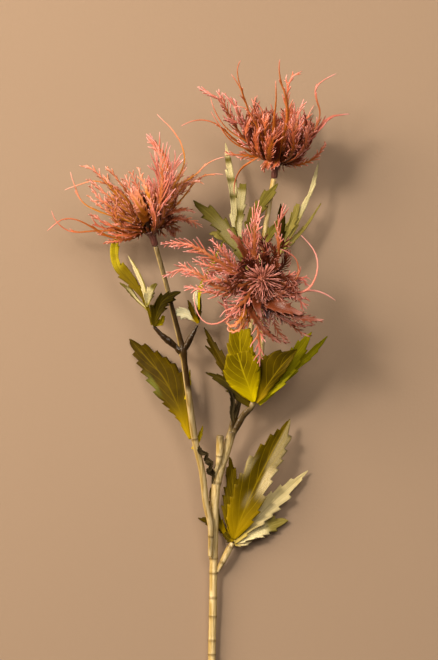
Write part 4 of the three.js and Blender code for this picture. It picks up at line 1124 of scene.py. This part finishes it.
leaves = {
    "lower_left_leaf": {"look": "brownLeaf", "lobes": [
        lobe([(-17.2, -66, 17), (-24, -48, 14.5), (-33, -30, 10), (-43, -18, 5.5), (-54.4, -5.5, 1.5)],
            [0.8, 3, 7, 10, 10, 9, 6, 0.2], [0.8, 6, 9, 12, 12, 9, 6, 0.2], 10, fold=-0.2,
            patches=[patch(0.9, (-2, -0.6), (0.46, 0.66))]),
        lobe([(-16.2, -72, 15.2), (-12.4, -66, 15), (-9.8, -58, 14.5)], [0.6, 1.5, 1.2, 0.2],
            [0.6, 2, 1.6, 0.2], 3, look="brightLeaf", fold=0.4),
        lobe([(-20.4, -42, 17.5), (-18.2, -33, 17), (-17.6, -24, 17)], [0.5, 1.2, 0.2], [0.5, 1.4, 0.2], 2,
            look="brightLeaf")]},
    "lowest_leaf": {"look": "oliveLeaf", "lobes": [
        lobe([(8.8, -127, 7.9), (15, -110, 11), (23, -92, 14.5), (33, -72, 14.5), (43, -54, 11)],
            [1, 10, 12, 12, 12, 9, 5, 0.2], [1, 8, 10, 9, 9, 9, 7, 0.2], 10, fold=0.25,
            # These pale patches are painted highlights: the lit right half, its upper part, a silvery glint
            # by the left notch and one by the midrib.
            patches=[patch(0.75, (0.25, 2), (0.4, 0.62)), patch(0.34, (0.05, 2), (0.6, 2)),
            patch(0.6, (-2, -0.6), (0.5, 0.6)), patch(0.6, (-0.25, 0.05), (0.3, 0.34))]),
        lobe([(8.8, -126.5, 7.7), (8, -112, 7.8), (8.5, -96, 8), (6.5, -77, 9)], [1, 6, 7.5, 6, 4, 0.2],
            [1, 5, 6, 5, 4, 0.2], 6, fold=0.1),
        lobe([(8, -128, 6.5), (2, -121, 3.6), (-4, -117.5, 2.4), (-12.7, -114.4, 1.5)], [1, 3, 3, 0.2],
            [1, 3, 4, 0.2], 3, look="brownLeaf"),
        lobe([(4, -124, 5), (-1, -114, 6), (-4, -104, 7), (-5, -95.6, 8)], [1, 3, 3, 0.2], [1, 3, 3, 0.2],
            4, look="brownLeaf"),
        lobe([(9, -127.6, 7.2), (6, -126.5, 7), (3, -123.5, 6.6)], [1, 3, 2.4, 1], [1, 2.5, 2, 1], 2)]},
    "lowest_side_leaf": {"look": "paleLeaf", "lobes": [
        lobe([(9.6, -129, 7.4), (20, -117, 8), (34, -103, 7), (54, -85.5, 3)], [1, 4, 6, 7, 5, 3, 0.2],
            [1, 4, 7, 7, 6, 3, 0.2], 7, fold=0.2),
        lobe([(10.5, -129, 6.8), (20, -124, 6.5), (30, -119.5, 5), (42, -115.7, 2.5)], [1, 4.5, 8, 6, 0.2],
            [1, 4, 5.5, 4.5, 0.2], 5, look="leafBack", patches=[patch(1, (-2, 2), (-1, 0.6))]),
        lobe([(9.5, -130, 7), (14, -129.5, 6), (20.5, -127.5, 4.5)], [1, 3, 0.2], [1, 3, 0.2], 3)]},
    "whorl_left_leaf": {"look": "darkLeaf", "lobes": [
        lobe([(18.8, -42, 25.2), (9, -31, 24), (-1, -14, 19.5), (-9, 1.5, 13)], [1, 4, 4, 3.5, 2.5, 0.2],
            [1, 5, 5, 4, 2, 0.2], 5, look="brownLeaf"),
        lobe([(14, -37, 24.6), (5, -26, 21), (-1, -16, 17), (-8.3, -9.5, 13)], [1, 3, 3, 0.2],
            [1, 3, 3, 0.2], 3, look="brownLeaf"),
        lobe([(19.5, -46, 24), (12, -40, 23.2), (2, -30, 19), (-8, -25.7, 13)], [1, 3.5, 4, 3, 0.2],
            [1, 4, 4, 2, 0.2], 4),
        lobe([(13, -42, 21), (9, -40, 19.5), (6.5, -36.5, 18)], [0.8, 2, 0.4], [0.8, 1.6, 0.4], 3,
            look="dryLeaf")]},
    "whorl_middle_leaf": {"look": "brightLeaf", "lobes": [
        lobe([(20.9, -43.3, 26.8), (18, -34, 31), (14.5, -25, 34), (11, -14, 35.5)], [1, 6, 10, 12, 11, 7],
            [1, 5, 9, 11, 11, 7], 5, fold=0.1, notch=0.8),
        lobe([(19.5, -40, 26.2), (16, -28, 28.5), (13, -14, 31), (12.5, 0.5, 32)], [1, 5, 8, 8.5, 8, 6.5],
            [1, 5, 8.5, 9, 8.5, 6.5], 6, fold=0.1, notch=1.2)]},
    "whorl_right_leaf": {"look": "brightLeaf", "lobes": [
        lobe([(22.3, -43.6, 26), (30.4, -31.5, 29.8), (38.2, -21, 32), (47, -11.6, 32)],
            [1, 5.5, 10.5, 13, 13.5, 10, 5, 0.2], [1, 3, 4, 4.5, 4.5, 4, 2, 0.2], 6, fold=0.15, notch=1.2,
            look="oliveLeaf"),
        lobe([(23.5, -44, 25.2), (34, -32, 27), (46, -15.5, 27.5), (55.9, -1.2, 24)],
            [1, 3, 5, 5.5, 4.5, 0.2], [1, 4, 6, 5.5, 4, 0.2], 6, look="greenLeaf", notch=1.6),
        lobe([(24, -45, 24.6), (34, -33, 25.2), (45, -22.8, 25), (55, -14.7, 23), (65.4, -3.8, 19)],
            [1, 3, 4, 3, 2.4, 0.2], [1, 4, 4, 3, 2.4, 0.2], 6, look="greenLeaf", notch=1.6)]},
    "upper_left_leaf": {"look": "duskyLeaf", "lobes": [
        lobe([(21.2, 22.5, 26.5), (14, 43, 27), (6, 57, 27), (-4, 68, 25), (-15.5, 78, 22)],
            [0.8, 1, 3, 5.5, 5, 5, 0.2], [0.8, 1, 4, 6, 6, 5, 0.2], 7, notch=3.4,
            patches=[patch(0.25, (-0.7, 0.5), (0.4, 0.72))]),
        lobe([(17, 36, 26), (11.5, 54, 25.5), (10.5, 66, 24), (8.5, 85, 21), (4, 113, 17)],
            [0.8, 2, 3.5, 4.2, 4.2, 3.5, 2.5, 0.2], [0.8, 1, 2, 3, 3.5, 3, 2, 0.2], 4,
            # Pale patches paint the lit left side and upper part, and the narrow gaps between them are
            # painted shadow bands.
            patches=[patch(1, (-2, 0.3), (0.25, 0.55), 0.03), patch(0.8, (-2, 2), (0.6, 0.69), 0.02),
            patch(0.9, (-2, 2), (0.73, 0.84), 0.02), patch(1, (-2, 2), (0.89, 2), 0.02)]),
        lobe([(15, 46, 26.4), (12, 60, 26), (12.5, 72, 25.5), (14, 88, 25)], [0.8, 2, 2.5, 3.4, 2.4],
            [0.8, 2, 3.4, 4.4, 3], 4, patches=[patch(0.8, (-0.5, 2), (0.2, 0.5)),
            patch(0.7, (-2, 2), (0.64, 0.9), 0.04)]),
        lobe([(12, 50, 25), (6, 55, 24), (-1, 58, 23), (-6, 58, 22)], [0.8, 4, 4, 0.2], [0.8, 4, 3, 0.2], 4,
            look="leafBack")]},
    "upper_middle_leaf": {"look": "duskyLeaf", "lobes": [
        lobe([(26.8, 50, 30.6), (21.5, 58, 34), (21, 67, 36), (27, 77, 37), (35.3, 88, 38)],
            [0.8, 4, 6, 5, 4, 0.2], [0.8, 3, 4, 4, 4, 0.2], 6),
        lobe([(27.6, 50, 30.6), (31, 58, 33), (34, 62, 33.5), (36, 66, 33.5)], [0.8, 3, 4, 1],
            [0.8, 3, 3, 1], 3)]},
    "upper_right_leaf": {"look": "paleLeaf", "lobes": [
        lobe([(24.8, 22.4, 25.9), (34, 42, 25), (42.5, 57, 24), (49, 69, 23), (56, 86, 21), (60, 101, 18)],
            [0.8, 0.8, 2, 5, 6.4, 3, 1.2, 1.6, 0.2], [0.8, 0.8, 2, 3, 2, 1.5, 1.5, 2, 0.2], 5,
            look="leafBack", patches=[patch(0.8, (-2, 2), (0.62, 2))]),
        lobe([(35, 44, 24.6), (46, 55.5, 21), (53, 63.5, 18), (61.7, 76.5, 14)],
            [0.7, 1.5, 1.8, 1.2, 0.7, 0.2], [0.7, 1.5, 1.6, 1, 0.7, 0.2], 3, look="leafBack"),
        lobe([(36, 50, 25), (41.5, 60, 24.4), (45.6, 69, 24), (47.5, 76, 23.5)], [0.8, 2.5, 3.5, 3, 1.5],
            [0.8, 2.5, 3.5, 3, 1.5], 4, look="leafBack"),
        lobe([(38, 49, 25), (37.5, 58, 25.5), (37, 67, 26), (37.2, 76, 26)], [0.8, 2, 3, 0.2],
            [0.8, 3, 3, 0.2], 3, look="darkLeaf")]},
    "left_shoot_leaf": {"look": "shootLeaf", "lobes": [
        lobe([(-40.1, 2.95, 25.7), (-43.5, 15, 26), (-50, 25.5, 25), (-56, 32, 23.5), (-61, 38, 22),
            (-63, 47.6, 19), (-60.6, 61, 16)], [0.8, 1.0, 1.6, 3.4, 3.8, 3.2, 2.8, 2],
            [0.8, 1.0, 2.4, 4.8, 5, 3.2, 2.8, 2], 5, patches=[patch(0.9, (-2, 2), (0.64, 2))]),
        lobe([(-43.2, 14, 26.6), (-45.5, 26, 28), (-49.3, 35, 28), (-54.6, 44.6, 27)], [0.6, 1.8, 1.5, 0.2],
            [0.6, 1.8, 1.5, 0.2], 3, look="leafBack", patches=[patch(0.8, (-2, 0.4), (0.2, 2))]),
        lobe([(-42.8, 12, 25.4), (-49, 18, 22), (-54, 24, 20), (-60, 28.6, 18)], [0.6, 1.0, 2, 0.2],
            [0.6, 1.0, 2, 0.2], 3, look="duskyLeaf", patches=[patch(0.7, (-0.4, 0.6), (0.1, 0.75))]),
        lobe([(-43.2, 15, 27), (-41.6, 22, 28.5), (-37.6, 28, 29)], [0.8, 3.6, 3.4, 0.6],
            [0.8, 3, 2.4, 0.6], 3, look="duskyLeaf", patches=[patch(0.8, (-2, 0.5), (0.1, 0.7))])]},
    "left_shoot_front_leaf": {"look": "darkLeaf", "lobes": [
        lobe([(-39, 2.2, 27.35), (-37.6, 9, 30), (-34, 17, 31.5), (-28, 21, 31.4), (-23, 22.9, 31)],
            [0.8, 4.4, 6.2, 5, 3, 0.2], [0.8, 3.4, 5, 5, 3.6, 0.2], 5, notch=3.2),
        lobe([(-39.2, 2.6, 26.6), (-35, 4.5, 27), (-33.2, 8.5, 27.5)], [0.6, 2.2, 0.8], [0.6, 2.2, 0.8], 2,
            look="brightLeaf")]},
    "right_shoot_leaf": {"look": "darkLeaf", "lobes": [
        lobe([(-12.6, 4, 25.4), (-15.6, 10, 27), (-18.7, 18, 28)], [0.8, 2, 1.8, 0.2], [0.8, 2, 2, 0.2], 3,
            look="brownLeaf"),
        lobe([(-13.2, 5, 24.8), (-19, 9.6, 24.6), (-26, 10.6, 23.6)], [0.6, 3, 4.4, 2.6],
            [0.6, 3.4, 4.4, 2.6], 4, look="paleLeaf", patches=[patch(1, (-2, 2), (0.2, 2))]),
        lobe([(-12.4, 4.4, 25.2), (-11.8, 12, 25), (-11.3, 19.8, 24.5)], [0.8, 2, 1.8, 0.4],
            [0.8, 1.5, 1.5, 0.4], 2),
        lobe([(-12.5, 14, 26), (-14.5, 20, 26.5), (-13, 24, 26)], [0.5, 2, 1.4, 0.6], [0.5, 2, 1.8, 0.6], 2,
            look="paleLeaf", patches=[patch(1, (-2, 2), (0.1, 2))]),
        lobe([(-12, 12, 26), (-12, 20, 27), (-10, 28, 25.5), (-5.6, 37, 24), (2.9, 54.3, 21)],
            [0.5, 0.8, 2, 0.8, 1.8, 0.5, 0.2], [0.5, 0.8, 1.8, 0.8, 1.6, 0.5, 0.2], 3, look="greenLeaf")]},
}

# Dried scraps of leaf are left beside the stub and at the fork, against the stalk of the top head.
scraps = {
    "dried_scrap": {"look": "dryLeaf", "loose": True, "lobes": [
        lobe([(-4.2, -93, 15.4), (-3.4, -87, 16.4), (-5.4, -83.6, 18.8), (-4.6, -80.2, 19.8),
            (-7.8, -78.2, 18.8), (-7.4, -75, 20.2), (-10.8, -73.6, 18.8), (-12.4, -70.4, 17.6)],
            [0.3, 0.9, 1.6, 1.0, 2.3, 1.2, 2.2, 0.7], [0.3, 0.9, 1.7, 1.0, 2.2, 1.0, 2.1, 0.7], 12,
            fold=1.0, notch=2.2),
        lobe([(-3.6, -88, 15.8), (-6.4, -85.4, 17.4), (-4.8, -82, 18.4), (-8, -80.4, 17)],
            [0.4, 1.8, 1.2, 0.3], [0.4, 1.8, 1.3, 0.3], 4, fold=0.8)]},
    "fork_scrap": {"look": "dryLeaf", "loose": True, "lobes": [
        lobe([(8.8, -57, 19.4), (7.8, -50, 21), (8.4, -44, 22.2), (7.2, -38, 23.6), (4.2, -34.6, 24.4)],
            [0.5, 1.4, 1.7, 1.6, 1.2, 0.3], [0.5, 1.5, 1.9, 1.5, 1.2, 0.3], 6, fold=0.7, notch=1.6),
        lobe([(9.6, -53, 20.4), (11.2, -47, 22), (13.4, -41, 23.4)], [0.5, 0.9, 0.8, 0.3],
            [0.5, 0.9, 0.8, 0.3], 3, fold=0.6)]},
}


def patchShare(patches, across, share):
    pale = 0
    blurAcross = leafLook["patchBlur"]
    for spot in patches:
        (near, far), (start, end), blur = spot["across"], spot["along"], spot["blur"]
        sideways = smoothStep(near - blurAcross, near + blurAcross, across)
        sideways *= smoothStep(far + blurAcross, far - blurAcross, across)
        lengthways = smoothStep(start - blur, start + blur, share)
        lengthways *= smoothStep(end + blur, end - blur, share)
        pale = max(pale, sideways * lengthways * spot["share"])
    return pale


def growLobe(blade, rng):
    # A thin blade over its route: toothed margins, a fold at the midrib and soft pleats.
    bm, layers = newBmesh(leafLayers)
    rows, columns = leafLook["rows"], leafLook["columns"]
    spots = routeFrames(smoothRoute([place(p) for p in blade["path"]], rows), lambda spot: upward)
    bmesh.ops.create_grid(bm, x_segments=columns, y_segments=rows, size=1)
    phase = rng.uniform(0, 6)
    wave = rng.uniform(0.8, 1.5)
    fold = blade.get("fold", leafLook["fold"])
    for corner in bm.verts:
        across, share = corner.co.x, (corner.co.y + 1) / 2
        spot, along, side, up = spots[round(share * rows)]
        margin = abs(across)
        half = alongList(blade["right"] if across > 0 else blade["left"], share)
        size = min(1, half / leafLook["fullFrom"])  # narrow places are flatter
        tooth = (share * blade["teeth"] + 0.3 * math.sin(share * 11 + phase + across)) % 1
        notch = blade.get("notch", leafLook["toothDepth"]) * size
        half -= notch * (1 - tooth) * margin ** 3 * smoothStep(0.06, 0.2, share)
        reach = half * across
        pleat = math.cos(across * leafLook["pleats"] * math.pi) * leafLook["pleatDepth"] * size
        ripple = wave * math.sin(share * 7 + phase + across) * across * across * size
        groove = -leafLook["grooveDepth"] * math.exp(-((across / leafLook["grooveHalf"]) ** 2)) * size
        rise = fold * abs(reach) + pleat + ripple + groove
        forward = leafLook["toothReach"] * tooth * size * margin ** 4
        corner.co = spot + (side * reach + up * rise + along * forward) * millimetre
        corner.co.z = max(corner.co.z, lowestPoint)
        corner[layers["along"]] = share
        corner[layers["across"]] = across
        # pale patches: cloth wear on some lobes, painted highlights and painted shadow bands on others
        corner[layers["pale"]] = patchShare(blade.get("patches", []), across, share)
    bmesh.ops.recalc_face_normals(bm, faces=bm.faces)
    if sum(face.normal.z for face in bm.faces) < 0:
        bmesh.ops.reverse_faces(bm, faces=bm.faces)
    return bm


def addLeaf(name, leaf):
    rng = random.Random(name)
    whole, _ = newBmesh(leafLayers)
    looks = []
    for blade in leaf["lobes"]:
        look = blade.get("look", leaf["look"])
        if look not in looks:
            looks.append(look)
        part = growLobe(blade, rng)
        for face in part.faces:
            face.material_index = looks.index(look)
        appendMesh(whole, part)
    addPiece(f"{name}_blade", whole, looks, None if leaf.get("loose") else name,
             thickness=leafLook["thickness"], levels=0)


for leafName, leaf in {**leaves, **scraps}.items():
    addLeaf(leafName, leaf)
print("leaves made")


stageLook = {"floorHalf": 4.0, "floorCells": 8, "cameraHeight": 2.535, "framedHeight": 0.396,
             "sensor": 36.0, "focusHeight": 0.035, "clipEnd": 50, "worldColour": (1.0, 0.9, 0.8, 1),
             "worldStrength": 0.09}
lights = {
    "key": {"spot": (-1.45, 0.85, 0.9), "target": (0.0, 0.08, 0.03), "size": 1.5, "power": 58.0,
            "colour": (1.0, 0.87, 0.70)},
    "crown": {"spot": (-0.85, 0.75, 1.5), "target": (0.0, 0.08, 0.03), "size": 0.4, "power": 30.0,
              "colour": (1.0, 0.92, 0.80)},
    "fill": {"spot": (0.6, 1.2, 2.3), "target": (0.0, 0.05, 0.03), "size": 1.4, "power": 34.0,
             "colour": (1.0, 0.93, 0.84)},
}


def addFloor():
    bm = bmesh.new()
    cells = stageLook["floorCells"]
    bmesh.ops.create_grid(bm, x_segments=cells, y_segments=cells, size=stageLook["floorHalf"])
    mesh = bpy.data.meshes.new("floor")
    bm.to_mesh(mesh)
    bm.free()
    mesh.materials.append(materials["floor"])
    floor = bpy.data.objects.new("floor", mesh)
    bpy.context.scene.collection.objects.link(floor)


def addLight(name, look):
    light = bpy.data.lights.new(name, "AREA")
    light.shape = "DISK"
    light.size = look["size"]
    light.energy = look["power"]
    light.color = look["colour"]
    lamp = bpy.data.objects.new(name, light)
    lamp.location = look["spot"]
    lamp.rotation_euler = (Vector(look["target"]) - lamp.location).to_track_quat("-Z", "Y").to_euler()
    bpy.context.scene.collection.objects.link(lamp)


def addCamera():
    camera = bpy.data.cameras.new("camera")
    camera.sensor_width = stageLook["sensor"]
    distance = stageLook["cameraHeight"] - stageLook["focusHeight"]
    camera.lens = stageLook["sensor"] * distance / stageLook["framedHeight"]
    camera.clip_end = stageLook["clipEnd"]
    viewer = bpy.data.objects.new("camera", camera)
    viewer.location = (routeOffset.x * millimetre, routeOffset.y * millimetre, stageLook["cameraHeight"])
    bpy.context.scene.collection.objects.link(viewer)
    bpy.context.scene.camera = viewer


addFloor()
for lightName, look in lights.items():
    addLight(lightName, look)
addCamera()
world = bpy.data.worlds.new("studio")
world.use_nodes = True
background = world.node_tree.nodes["Background"]
background.inputs["Color"].default_value = stageLook["worldColour"]
background.inputs["Strength"].default_value = stageLook["worldStrength"]
bpy.context.scene.world = world
bpy.context.scene.view_settings.view_transform = "Standard"
print("floor, lights and camera made")
